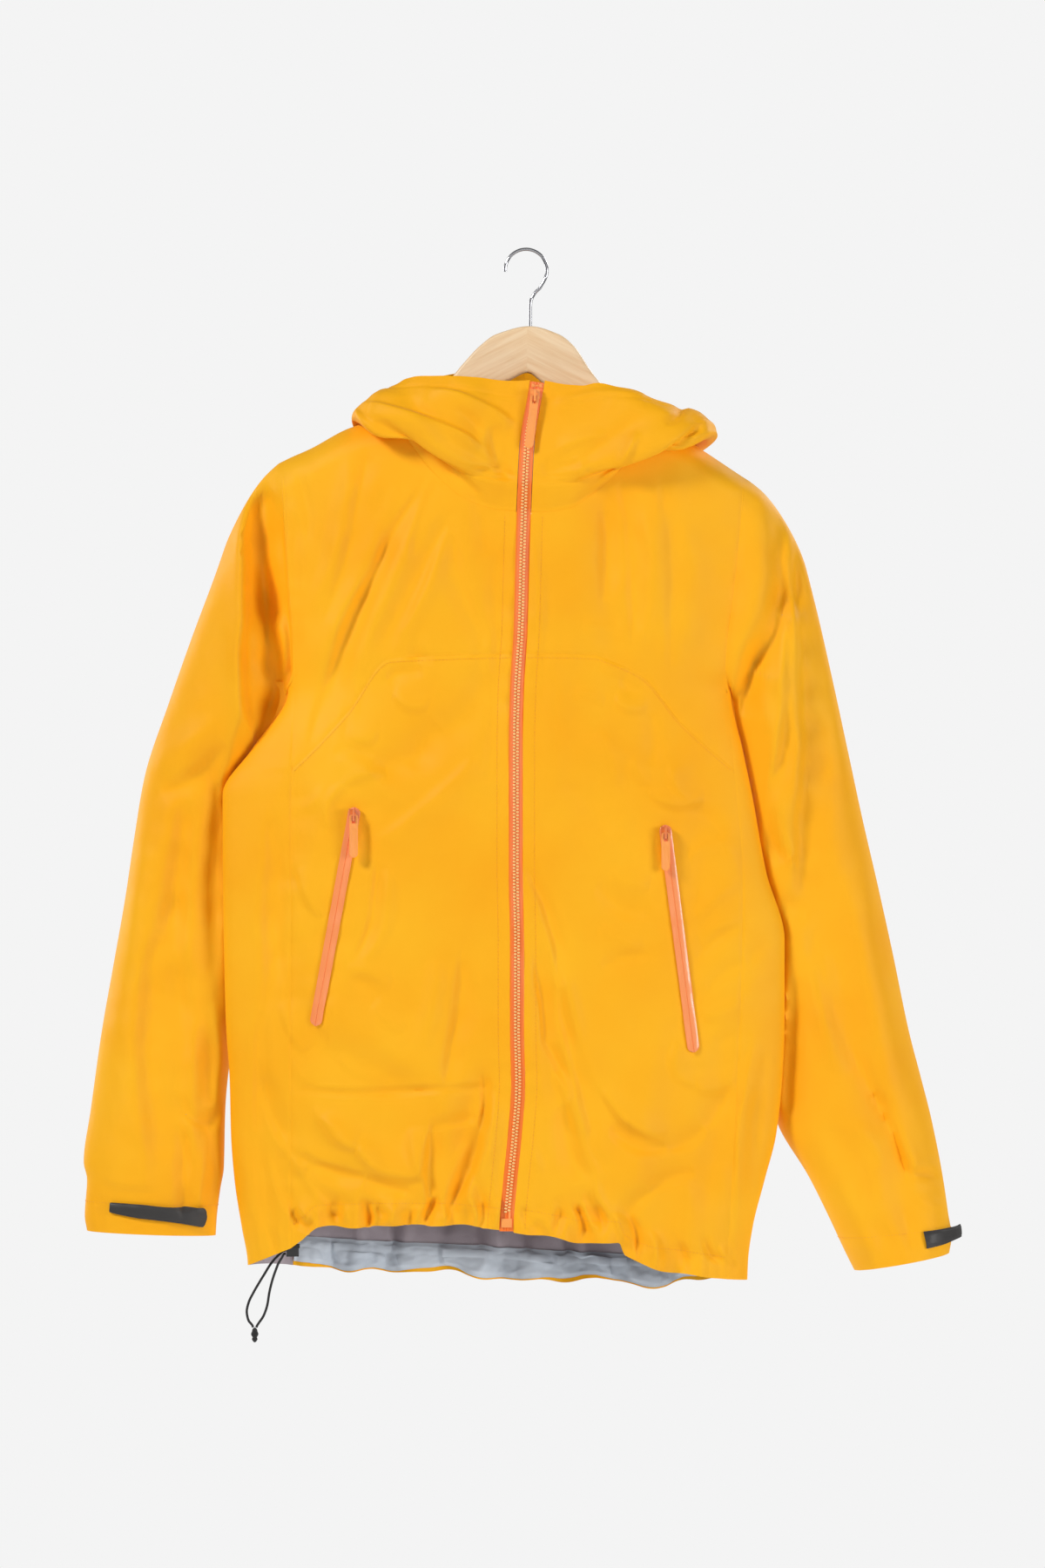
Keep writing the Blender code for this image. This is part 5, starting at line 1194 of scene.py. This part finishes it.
def makeTape(share, finish):
    look = hemTape
    down = spread(44)
    hem = hemAt(1)
    band = panelPoints(1, backEnds, share, down, lambda x: lineAt(hemBack, x) - look["tall"],
                       lambda x: hem(x) - look["end"] - look["shown"] * np.clip(np.sin(x / 19.0 - 0.6), 0, 1))
    normals = gridNormals(band)
    x, drop = band[..., 0], -band[..., 2]
    crumple = creaseHeight(tapeCreases, x, drop) + 0.7 * ripples(31, x, drop, size=24)\
        + 0.4 * ripples(32, x, drop, size=9)
    crumple = np.maximum(crumple + look["loose"], 0) * softStep(np.minimum(down, 1 - down), 0, 0.2)[:, None]
    band = band - normals * (look["offset"] + crumple[..., None])
    strip = shell("hemTape", band, 1, (finish,), thick=look["thick"], normals=normals)
    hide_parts("hem_tape")
    return strip


hemLevel = 870  # the drop at which the sides' hems are read off


def sideHem(side, share):
    x = lookUp(armholes[side], "seam", hemLevel)
    front = lineAt(hemFront, x) * (1 - share) + lineAt(hemBack, x) * share
    return front + (lineAt(hemBack, sideFold(side, hemLevel)) - front) * np.sin(math.pi * share) * 0.8


def makeSides(cloth):
    made = []
    for side, word in sides:
        loopDrop = np.linspace(armSeam, armPit, 120)
        first = frontTurn(side, "seam", loopDrop)
        loopShare = (frontTurn(side, "arm", loopDrop) - first) / (180 - 2 * first)
        share = 0.5 - 0.5 * np.cos(math.pi * spread(84))
        top = np.interp(np.minimum(share, 1 - share), loopShare, loopDrop)
        drop = top + (sideHem(side, share) - top) * spread(150, 1.1)[:, None]
        first = frontTurn(side, "seam", drop)
        points = bodyAt(side, first + (180 - 2 * first) * share, drop)
        made.append(shell(f"sidePanel_{word}", points, side, cloth, turned=(0.08, 0)))
        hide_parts(f"side_{word}")
    return made


sleeveTuck = {"in": 4.0, "aside": 2.5, "down": -2.5}  # the sleeve's upper edge, turned in at the armhole


def makeSleeves(cloth):
    made = []
    for side, word in sides:
        angle = spread(104)[:-1] * 360
        angle = angle - 7 * np.sin(2 * np.radians(angle))
        points = sleeveAt(side, *np.broadcast_arrays(angle, spread(190, 1.1)[:, None]))
        tuck = [np.full_like(angle, -side * sleeveTuck["in"]), sleeveTuck["aside"] * np.sin(np.radians(angle)),
                np.full_like(angle, sleeveTuck["down"])]
        points = np.concatenate([points[:1] + np.stack(tuck, -1), points])
        made.append(shell(f"sleeveShell_{word}", points, -side, cloth, closed=True, turned=(0.12, 0)))
        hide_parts(f"sleeve_{word}")
    return made


armSeamLook = {"radius": 1.5, "inside": 1.8, "steps": 240, "round": 8}


def makeArmSeams(finish):  # the bound seam allowance inside each armhole
    made = []
    look = armSeamLook
    steps, wide = look["steps"], look["round"]
    turn = np.radians(np.arange(wide) * 360 / wide)[:, None]
    angle = np.linspace(0, 360, steps, endpoint=False)
    r, c = np.meshgrid(np.arange(steps), np.arange(wide), indexing="ij")
    down, beside = (r + 1) % steps * wide, (c + 1) % wide
    faces = np.stack([r * wide + c, r * wide + beside, down + beside, down + c], -1).reshape(-1, 4)
    for side, word in sides:
        loop = armLoop(side, angle)
        loop[:, 1] += look["inside"] * np.sin(np.radians(angle))
        loop[:, 2] -= look["inside"] * np.cos(np.radians(angle))
        run = unit(np.roll(loop, -1, axis=0) - np.roll(loop, 1, axis=0))
        across = unit(np.cross(run, (1.0, 0.0, 0.0)))
        ring = across[:, None] * np.cos(turn) + np.cross(run, across)[:, None] * np.sin(turn)
        points = loop[:, None] + look["radius"] * ring
        made.append(meshObject(f"armSeam_{word}", points.reshape(-1, 3), faces, (finish,)))
    return made


gussetLook = {"above": 8.0, "below": 40.0, "inward": 7.0, "outward": 9.0, "behind": 2.6, "lean": 2.0,
              "thick": 0.9, "rows": 40, "columns": 14}


def makeGussets(finish):  # the underarm cloth that joins each sleeve to the body below the armhole
    made = []
    look = gussetLook
    wide, low = look["inward"] + look["outward"], armPit + look["below"]
    for side, word in sides:
        drop = np.linspace(armPit - look["above"], low, look["rows"])[:, None]
        share = np.linspace(0, 1, look["columns"])[None, :]
        end = np.sqrt(np.clip((low - drop) / (look["above"] + look["below"]), 0.02, 1))
        x = sideFold(side, drop) + side * (wide * share * end - look["inward"])
        y = lookUp(sections, "forward", drop) + look["behind"] + look["lean"] * share
        points = np.stack(np.broadcast_arrays(x, y, -drop), -1)
        made.append(shell(f"gusset_{word}", points, side, (finish,), thick=look["thick"]))
    return made


# across and down: the hood's own millimetres, for its angles and shares. seam: height of the
# stitching below the opening.
hoodLook = {"across": 1.3, "down": 180, "seam": 14.0, "ripple": 46}


def makeHood(cloth):
    made = []
    look = hoodLook
    for side, word in sides:
        angle, share = np.broadcast_arrays(spread(116, 1.1) * 179.95, spread(96)[:, None])
        points = hoodAt(side, angle, share)
        normals = gridNormals(points) * -side
        across, down = angle * look["across"], share * look["down"]
        height = creaseHeight(hoodCreases[side], across, down) + 0.7 * ripples(40 + side, across, down, look["ripple"])
        seen = softStep(share, 0.30, 0.42) * (1 - softStep(angle, 70, 100))
        height += creaseHeight(hoodFolds[side], points[..., 0], -points[..., 2]) * seen
        height += turnedHem(look["down"] - down - look["seam"])
        fade = softStep(share, 0, 0.08) * softStep(angle, 0, 4) * (1 - softStep(angle, 176, 180))
        made.append(shell(f"hoodShell_{word}", points + normals * (height * fade)[..., None], -side, cloth))
        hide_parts(f"hood_{word}")
    return made


# Repeats along a line: zip teeth and stitches
def repeatTree(name, alternate):
    tree = bpy.data.node_groups.new(name, "GeometryNodeTree")
    inputs = {"Geometry": "Geometry", "Pitch": "Float", "Size": "Vector", "Aside": "Float", "Finish": "Material"}
    for label, kind in inputs.items():
        tree.interface.new_socket(label, in_out="INPUT", socket_type="NodeSocket" + kind)
    tree.interface.new_socket("Geometry", in_out="OUTPUT", socket_type="NodeSocketGeometry")
    given = {socket.name: socket for socket in tree.nodes.new("NodeGroupInput").outputs}

    def step(kind, links, **settings):
        return addNode(tree, kind, links, **settings).outputs

    curve = step("GeometryNodeMeshToCurve", {"Mesh": given["Geometry"]})
    dots = step("GeometryNodeCurveToPoints", {"Curve": curve[0], "Length": given["Pitch"]}, mode="LENGTH")
    if alternate:  # moulded teeth: rounded blocks, set to one side and the other by turns
        block = step("GeometryNodeMeshCube", {"Size": given["Size"]})
        shape = step("GeometryNodeSubdivisionSurface", {"Mesh": block["Mesh"], "Level": 1, "Edge Crease": 0.75})
    else:  # stitches: small thread loops, longest along the line
        ball = step("GeometryNodeMeshIcoSphere", {"Radius": 1.0, "Subdivisions": 1})
        shape = step("GeometryNodeTransform", {"Geometry": ball["Mesh"], "Scale": given["Size"]})
    along = step("FunctionNodeAlignRotationToVector", {"Vector": dots["Tangent"]}, axis="Z")
    turn = step("FunctionNodeAlignRotationToVector", {"Rotation": along[0], "Vector": (1.0, 0.0, 0.0)},
                axis="X", pivot_axis="Z")
    placed = step("GeometryNodeInstanceOnPoints", {"Points": dots["Points"], "Instance": shape[0],
                                                   "Rotation": turn[0]})
    odd = calculate(tree, "MODULO", step("GeometryNodeInputIndex", {})[0], 2.0)
    sign = calculate(tree, "SUBTRACT", calculate(tree, "MULTIPLY", odd, 2.0), 1.0)
    shift = step("ShaderNodeCombineXYZ", {"X": calculate(tree, "MULTIPLY", sign, given["Aside"])})
    moved = step("GeometryNodeTranslateInstances", {"Instances": placed[0], "Translation": shift[0]})
    real = step("GeometryNodeRealizeInstances", {"Geometry": moved[0]})
    smooth = step("GeometryNodeSetShadeSmooth", {"Geometry": real[0]})
    painted = step("GeometryNodeSetMaterial", {"Geometry": smooth[0], "Material": given["Finish"]})
    tree.links.new(painted[0], tree.nodes.new("NodeGroupOutput").inputs[0])
    return tree


def repeatAlong(name, lines, tree, pitch, size, aside, finish):  # lines of points, in millimetres
    edges, first = [], 0
    for line in lines:
        edges += [(first + step, first + step + 1) for step in range(len(line) - 1)]
        first += len(line)
    mesh = bpy.data.meshes.new(name + "Path")
    mesh.from_pydata((np.concatenate(lines) * mm).tolist(), edges, [])
    path = linked(name + "Path", mesh)
    change = path.modifiers.new("repeat", "NODES")
    change.node_group = tree
    ids = {item.name: item.identifier for item in tree.interface.items_tree if item.in_out == "INPUT"}
    change[ids["Pitch"]] = pitch * mm
    change[ids["Size"]] = [value * mm for value in size]
    change[ids["Aside"]] = aside * mm
    change[ids["Finish"]] = finish
    mesh = bakedMesh(path)
    bpy.data.objects.remove(path)
    mesh.name = name
    mesh.materials.clear()
    mesh.materials.append(finish)
    mesh.polygons.foreach_set("material_index", np.zeros(len(mesh.polygons), np.int32))
    return linked(name, mesh)


# Zips. Profiles give shares of the half width and the height there.
# top and neck: drops of its upper end and of the neckline. hemX: the x at which it meets the hem.
zipLook = {"band": 2.2, "thick": 1.2, "pitch": 1.36, "tooth": (2.6, 1.2, 1.7), "aside": 1.35, "pullLean": 6.5,
           "top": 116.5, "neck": 222, "hemX": -16.0, "past": 0.5, "even": 6}
pocketLook = {"thick": 1.0, "below": 1.6, "crown": 0.55, "slit": 0.5}


def ribbon(name, points, outs, half, profile, thick, finish, roundEnds=False):
    run = unit(np.gradient(points, axis=0))
    wide = unit(np.cross(run, outs))
    out = np.cross(wide, run)[:, None]
    shares, raised = np.array(profile).T
    reach = np.full(len(points), half)
    if roundEnds:
        length = lengthsAlong(points)
        for near in (length, length[-1] - length):
            t = np.clip(1 - near / half, 0, 1)
            reach = np.minimum(reach, half * np.sqrt(np.clip(1 - t * t, 0.04, 1)))
    flat = points[:, None] + wide[:, None] * (shares * reach[:, None])[..., None]
    return twoSided(name, flat + out * raised[:, None], flat - out * thick, (finish,), sharp=40)


def frontZipLine(drops):
    shares = np.linspace(0, 1, 200)
    left, right = (hoodAt(side, np.zeros_like(shares), shares) for side in (1, -1))
    middle = (left + right) / 2
    x = lookUp(sections, "centre", drops)
    above = drops < float(lineAt(neckFront, 0.0))
    x, y = (np.where(above, np.interp(-drops, middle[:, 2], middle[:, axis]), low)
            for axis, low in enumerate((x, bodyY(x, drops, -1))))
    return np.stack([x, y, -drops], -1)


def pocketLine(side, count):
    (x, drop), (lowX, lowDrop) = pockets[side]["top"], pockets[side]["bottom"]
    share = np.linspace(0, 1, count)
    x, drop = x + (lowX - x) * share, drop + (lowDrop - drop) * share
    near = 6  # millimetres to each side over which the cloth's lie is read
    lie = np.cross(onBody(-1, x, drop + near) - onBody(-1, x, drop - near),
                   onBody(-1, x + near, drop) - onBody(-1, x - near, drop))
    return onBody(-1, x, drop), unit(lie)


def cube(shape, size, middle):
    bmesh.ops.create_cube(shape, size=1.0)
    bmesh.ops.scale(shape, vec=[value * mm for value in size], verts=shape.verts)
    bmesh.ops.translate(shape, vec=[value * mm for value in middle], verts=shape.verts)


def roundedBlock(name, boxes, finish, bevel, at=(0, 0, 0), segments=3):  # boxes joined into one rounded body
    blocks = []
    for middle, size in boxes:
        shape = bmesh.new()
        cube(shape, size, [m + a for m, a in zip(middle, at)])
        blocks.append(fromShape(name if not blocks else name + "Part", shape))
    body = blocks[0]
    for block in blocks[1:]:
        cutBy(body, block, "UNION")
    body.data.materials.append(finish)
    addBevel(body, bevel, segments)
    applyModifiers(body)
    for block in blocks[1:]:
        bpy.data.objects.remove(block)
    return body


def slab(name, outline, thick, finish, middle=0.0):  # an outline in x and z made a plate, its middle at this y
    shape = bmesh.new()
    front, back = ([shape.verts.new((x * mm, y * mm, z * mm)) for x, z in outline]
                   for y in (middle - thick / 2, middle + thick / 2))
    shape.faces.new(front)
    shape.faces.new(back[::-1])
    for index in range(len(outline)):
        after = (index + 1) % len(outline)
        shape.faces.new((front[index], back[index], back[after], front[after]))
    return fromShape(name, shape, finish, outwards=True)


# half: half the tab's width. above: its end over the pin. crown: the height of that end's curve.
tabShape = {"half": 3.7, "above": 0.8, "crown": 2.2, "thick": 1.5, "steps": 10, "grip": 4.6, "sunk": 0.85}


def pullTab(name, pin, length, finish):  # a moulded tab: an eye, a neck and a long rounded grip
    x, y, z = pin
    look = tabShape
    half, top, low = look["half"], look["above"] - look["crown"], look["above"] - length
    turns = [math.pi * index / look["steps"] for index in range(look["steps"] + 1)]
    outline = [(x + half * math.cos(turn), z + low + half - half * math.sin(turn)) for turn in turns]
    outline += [(x - half * math.cos(turn), z + top + look["crown"] * math.sin(turn)) for turn in turns]
    tab = slab(name, outline, look["thick"], finish, y)
    cutters = [((0, 0, -3.9), (3.2, 6.0, 6.4))]  # the eye, then the sunken grip panel, front and back
    cutters += [((0, face * look["sunk"], (low - 9.5) / 2), (look["grip"], 0.6, -low - 13.5)) for face in (-1, 1)]
    tools = [roundedBlock(name + "Cut", [cutter], finish, 0.25, pin, 1) for cutter in cutters]
    for tool in tools:
        cutBy(tab, tool)
    addBevel(tab, 0.3, 2)
    applyModifiers(tab)
    for tool in tools:
        bpy.data.objects.remove(tool)
    return tab


pulls = {  # where each pull tab turns, its length, its body, and the nodes that it and its slider replace
    "front": ((8.27, -52.98, -128.22), 46.0, "front_pull", "front_zip_pull", "front_zip_slider"),
    "pocket_left": ((119.87, -46.04, -500.79), 33.0, "left_pocket_pull", "pocket_pull_left", "pocket_slider_left"),
    "pocket_right": ((-146.19, -46.99, -485.51), 37.0, "right_pocket_pull", "pocket_pull_right",
                     "pocket_slider_right"),
}
# Boxes of the zip's hardware, each with its middle and its size
sliderBoxes = (((0, 3.1, 1.2), (8.4, 3.0, 8.4)), ((0, 3.1, -3.2), (6.4, 3.0, 4.2)), ((0, 0.2, 4.4), (1.8, 5.4, 1.4)),
               ((0, -1.9, 0), (1.8, 1.2, 10.2)), ((0, 0.2, -4.4), (1.8, 5.4, 1.4)))
zipBoxes = (((0, -0.7, 0), (9.0, 2.2, 7.5)), ((2.6, -0.9, 7.0), (1.6, 1.6, 8.0)))
stopBoxes = (((-3.2, -0.6, -1.4), (2.6, 1.6, 3.2)), ((3.2, -0.6, -1.4), (2.6, 1.6, 3.2)),
             ((0, -0.35, -1.4), (7.0, 0.7, 1.4)))


def makePulls():
    sliders = []
    for name, (pin, length, body, pullNode, sliderNode) in pulls.items():
        metal = finishes["pull" if name == "front" else "slider"]
        sliders.append(roundedBlock(f"{name}_sliderBody", sliderBoxes, metal, 0.35, pin))
        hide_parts(sliderNode)
        tab = pullTab(f"{name}_pullTab", pin, length, finishes["pull"])
        if name == "front":  # it lies along the zip, which leans there
            lean = math.tan(math.radians(zipLook["pullLean"]))
            for corner in tab.data.vertices:
                corner.co.x += lean * min(corner.co.z - pin[2] * mm, 0)
        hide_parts(pullNode)
        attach(tab, body)
    return sliders


def makeFrontZip():
    look = zipLook
    hemEnd = float(lineAt(hemFront, look["hemX"])) + look["past"]
    above, below = np.linspace(look["top"], look["neck"], 60), np.linspace(look["neck"] + 1, hemEnd, 260)
    points = frontZipLine(np.concatenate([above, below]))
    width = 2 * look["even"] + 1  # points over which its lie is evened out
    points[:, 1] = np.convolve(np.pad(points[:, 1], look["even"], mode="edge"), np.ones(width) / width, "valid")
    band = look["band"] / jacket["zipHalf"]
    half = [(0.06, 0.55), (band * 0.9, 0.5), (band, 0.1), (0.6, 0.1), (0.9, 0.15), (1, -0.1)]
    profile = [(-share, height) for share, height in half[::-1]] + [(0, 0.1)] + half
    outs = np.tile((0.0, -1.0, 0.0), (len(points), 1))
    tape = ribbon("frontZipTape", points, outs, jacket["zipHalf"], profile, look["thick"], finishes["zipTape"])
    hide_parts("front_zip")
    teeth = repeatAlong("frontZipTeeth", [points[4:-7] + (0, -1.0, 0)], repeatTree("teeth", True), look["pitch"],
                        look["tooth"], look["aside"], finishes["teeth"])
    return [tape, teeth, roundedBlock("frontZipBox", zipBoxes, finishes["pull"], 0.5, points[-4]),
            roundedBlock("frontZipStops", stopBoxes, finishes["pull"], 0.25, points[1])]


def makePockets():
    made = []
    look = pocketLook
    half = [(0.1, look["crown"]), (0.4, look["crown"]), (0.85, 0.35), (1, 0.0)]
    profile = [(-share, height) for share, height in half[::-1]] + [(0, look["crown"] - look["slit"])] + half
    for side, word in sides:
        points, normals = pocketLine(side, 150)
        made.append(ribbon(f"pocketZip_{word}", points + normals * look["below"], normals, jacket["pocketHalf"],
                           profile, look["thick"], finishes["pocketTape"], roundEnds=True))
        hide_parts(f"pocket_zip_{word}")
    return made


tabLook = {"thick": 1.5, "columns": 60, "rows": 12, "roundEnd": 7.0, "crown": 0.35, "stitchDip": 0.25}


def makeWristTabs():
    made = []
    look = tabLook
    across = np.linspace(-1, 1, look["rows"])[:, None]
    crown = look["crown"] * (1 - across**4) - look["stitchDip"] * np.exp(-(((np.abs(across) - 0.8) / 0.08) ** 2))
    for side, word in sides:
        table = wristTabs[side]
        angle = np.linspace(table[1][0], table[-1][0], int(look["columns"] * fine) + 2)
        upper, lower, proud = (lookUp(table, name, angle) for name in table[0][1:])
        near = angle - angle[0] if side > 0 else angle[-1] - angle
        t = np.clip(1 - near / look["roundEnd"], 0, 1)
        reach = (lower - upper) / 2 * np.sqrt(np.clip(1 - t * t, 0.03, 1))
        points = sleeveAt(side, *np.broadcast_arrays(angle, (upper + lower) / 2 + reach * across))
        normals = gridNormals(points) * -side
        outer = points + normals * (proud[None, :, None] + look["thick"] + crown[..., None])
        made.append(shell(f"wristTab_{word}", outer, -side, (finishes["tab"],), thick=look["thick"], normals=normals))
        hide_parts(f"cuff_tab_{word}")
    return made


# Drawcord
lockBoxes = (((0, 0, 0), lockSize), ((0, 0, 3.4), (12.0, 8.4, 3.0)), ((1.2, 0, 6.0), (5.0, 5.0, 3.0)))


def smoothRoute(points, count):
    points = np.array(points, float)
    run = lengthsAlong(points)
    at = np.linspace(0, run[-1], count)
    return np.stack([readKnots(at, run, column) for column in points.T], -1)


def makeKnot():  # a body with wound turns and a short frayed end below
    knot = bmesh.new()
    bmesh.ops.create_uvsphere(knot, u_segments=28, v_segments=20, radius=1.0)
    for corner in knot.verts:
        x, y, z = corner.co
        swell = 1 + 0.10 * math.sin(9.3 * z + 2 * math.atan2(y, x)) * (1 - z**2)
        pinch = 1 - 0.35 * math.exp(-(((z + 0.35) / 0.13) ** 2))
        grown = (x * swell * pinch, y * swell * pinch, z)
        corner.co = [(value * size + at) * mm for value, size, at in zip(grown, knotSize, knotAt)]
    piece = fromShape("cordKnot", knot, finishes["cord"])
    smoothed(piece.data, 0)
    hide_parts("cord_knot")
    return piece


def makeDrawcord():
    knot = makeKnot()
    made = [knot]
    for node, route in cordRoutes.items():
        points = smoothRoute(route, 40)
        strand = wire(node + "Strand", points, cordRadius, 4, finishes["cord"])
        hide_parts(node)
        made.append(strand)
    lock = roundedBlock("cordLock", lockBoxes, finishes["lock"], 0.9, lockAt)
    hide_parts("cord_lock")
    return made + [lock]


# Hanger
hangerLook = {"edge": 2.8, "bore": 1.7, "hookSides": 6, "steps": 170}
hookBend = {"start": 184, "step": 6.0, "count": 37}  # degrees
neckOfHook = ((12.5, -32.5), (9.6, -34.9), (7.6, -37.5), (6.1, -40.0), (5.2, -42.5), (4.7, -45.0),
              (shankX, -48.0), (shankX, -57.0), (shankX, 1.3 - crownDrop - shankDepth))


def makeHanger():
    look = hangerLook
    outline = []
    for table in (hangerUpper, hangerLower):
        knots = np.array(sorted(table[1:]), float)
        x = np.linspace(table[1][0], table[-1][0], look["steps"])
        outline += list(zip(x, -readKnots(x, knots[:, 0], knots[:, 1])))
    body = slab("hangerBody", outline, hangerThick, finishes["wood"])
    addBevel(body, look["edge"], 4, angle_limit=math.radians(60))
    bore = bmesh.new()
    bmesh.ops.create_cone(bore, cap_ends=True, segments=32, radius1=look["bore"] * mm, radius2=look["bore"] * mm,
                          depth=2 * shankDepth * mm)
    bmesh.ops.translate(bore, vec=(shankX * mm, 0, -crownDrop * mm), verts=bore.verts)
    tool = fromShape("hangerBore", bore)
    cutBy(body, tool)
    applyModifiers(body)
    bpy.data.objects.remove(tool)
    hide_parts("hanger_body")
    return body


def makeHook():
    turns = [math.radians(hookBend["start"] - hookBend["step"] * step) for step in range(hookBend["count"])]
    drop = hookRadius - hookWire
    route = [(hookX + hookRadius * math.cos(turn), 0, hookRadius * math.sin(turn) - drop) for turn in turns]
    route += [(x, 0, z) for x, z in neckOfHook]
    curve = wire("hangerHook", route, hookWire, hangerLook["hookSides"], finishes["chrome"])
    mesh = bakedMesh(curve)
    bpy.data.objects.remove(curve)
    smoothed(mesh, 0)
    hook = linked("hangerHook", mesh)
    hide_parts("hanger_hook")
    return hook


# Stitching. margin: how far the lines end from a seam.
stitchLook = {"pitch": 3.0, "size": (0.28, 0.28, 1.15), "beside": 3.2, "proud": 0.12, "margin": 3, "neck": 232}


def makeStitching():
    look = stitchLook
    hemSeam, zipHalf = jacket["hemSeam"], jacket["zipHalf"]
    lines = []

    def stitch(face, x, drop):
        lines.append(onBody(face, x, drop, look["proud"]))

    def seamX(side, drop):
        return lookUp(armholes[side], "seam", drop) - side * look["margin"]

    share = np.linspace(0, 1, 300)
    angle = np.linspace(2, 358, 420)
    for side in (-1, 1):
        inner = lookUp(sections, "centre", 350.0) + side * (zipHalf + 2)
        x = inner + (seamX(side, 440.0) - inner) * share
        stitch(-1, x, lineAt(yokeFront, x) + look["beside"])
        x = inner + (seamX(side, 860.0) - inner) * share
        stitch(-1, x, lineAt(hemFront, x) - hemSeam)
        drop = look["neck"] + (lineAt(hemFront, 0.0) - 4 - look["neck"]) * share
        stitch(-1, lookUp(sections, "centre", drop) + side * (zipHalf + 10), drop)
        ring = sleeveAt(side, angle, np.full_like(angle, 1 - sleeveLook["hemSeam"] / sleeveLength(side)))
        outward = (ring - ring.mean(axis=0)) * (1, 1, 0)
        lines.append(ring + unit(outward) * 0.25)
    x = np.linspace(seamX(1, 330.0), seamX(-1, 330.0), 500)
    stitch(1, x, lineAt(yokeBack, x) + look["beside"])
    stitch(1, x, lineAt(hemBack, x) - hemSeam)
    tree = repeatTree("stitches", False)
    return repeatAlong("stitching", lines, tree, look["pitch"], look["size"], 0.0, finishes["thread"])


# Floor, backdrop and light
studio = {"floor": -1.62, "reach": 3.0, "steps": 64, "glow": 0.645, "ambient": 0.18, "backdrop": 0.905}
lamps = {  # place, aim, size and watts
    "keyLeft": ((-3.3, -2.7, 2.3), (0, 0, -0.45), 1.0, 154),
    "fillRight": ((3.3, -2.5, -0.2), (0, 0, -0.5), 1.4, 70),
    "front": ((0.2, -4.2, 0.2), (0, 0, -0.45), 2.0, 12),
    "rearRight": ((3.0, 3.0, 1.8), (0, 0, -0.45), 1.6, 96),
    "rearLeft": ((-3.2, 2.6, 0.2), (0, 0, -0.5), 1.6, 50),
}


def makeFloor():
    finish, tree, shader, place = newFinish("paleFloor", (150, 150, 150), 0.9, Emission_Strength=studio["glow"])
    shader.inputs["Emission Color"].default_value = (0.93, 0.93, 0.93, 1)
    paint(tree, shader, noiseOn(tree, place, 3.0), (148, 148, 148), (152, 152, 152))
    turns = [2 * math.pi * step / studio["steps"] for step in range(studio["steps"])]
    reach = studio["reach"]
    points = [(reach * math.cos(turn), reach * math.sin(turn), studio["floor"]) for turn in turns]
    mesh = bpy.data.meshes.new("floor")
    mesh.from_pydata(points, [], [tuple(range(studio["steps"]))])
    mesh.materials.append(finish)
    linked("floor", mesh)


def makeWorld():  # an even pale backdrop all round, and a weaker light from it
    world = bpy.data.worlds.new("softWhite")
    world.use_nodes = True
    tree = world.node_tree
    ambient = tree.nodes["Background"]
    ambient.inputs["Color"].default_value = (1, 1, 1, 1)
    ambient.inputs["Strength"].default_value = studio["ambient"]
    seen = addNode(tree, "ShaderNodeBackground", {"Color": (1, 1, 1, 1), "Strength": studio["backdrop"]})
    path = addNode(tree, "ShaderNodeLightPath")
    either = addNode(tree, "ShaderNodeMixShader", {0: path.outputs["Is Camera Ray"], 1: ambient.outputs[0],
                                                   2: seen.outputs[0]})
    tree.links.new(either.outputs[0], tree.nodes["World Output"].inputs["Surface"])
    bpy.context.scene.world = world


def makeLamps():
    for name, (spot, aim, size, watts) in lamps.items():
        data = bpy.data.lights.new(name, "AREA")
        data.shape = "SQUARE"
        data.size = size
        data.energy = watts
        lamp = linked(name, data)
        lamp.location = spot
        lamp.visible_camera = False
        x, y, z = (end - start for start, end in zip(spot, aim))
        lamp.rotation_euler = (math.atan2(math.hypot(x, y), -z), 0, math.atan2(y, x) - math.pi / 2)


def declare(pieces, body="jacket"):
    for piece in pieces:
        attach(piece, body)


*cord, lock = makeDrawcord()
declare(cord)
declare([lock])
print("drawcord made")
lined = (finishes["shell"], finishes["lining"])
declare(makeFronts(lined))
print("fronts made")
declare(makeSides(lined))
*back, tape = makeBack(lined, finishes["tape"])
declare(back)
declare([tape])
print("sides and back made")
declare(makeSleeves(lined))
print("sleeves made")
declare(makeHood((finishes["shell"], finishes["hoodInsideShade"])))
print("hood made")
declare(makeArmSeams(finishes["shell"]) + makeGussets(finishes["shell"]))
declare(makeFrontZip() + makePulls() + makePockets())
print("zips made")
declare(makeWristTabs())
declare([makeHanger()])
declare([makeHook()])
print("hanger made")
declare([makeStitching()])
print("stitching made")
makeFloor()
makeWorld()
makeLamps()
bpy.context.scene.view_settings.view_transform = "Standard"
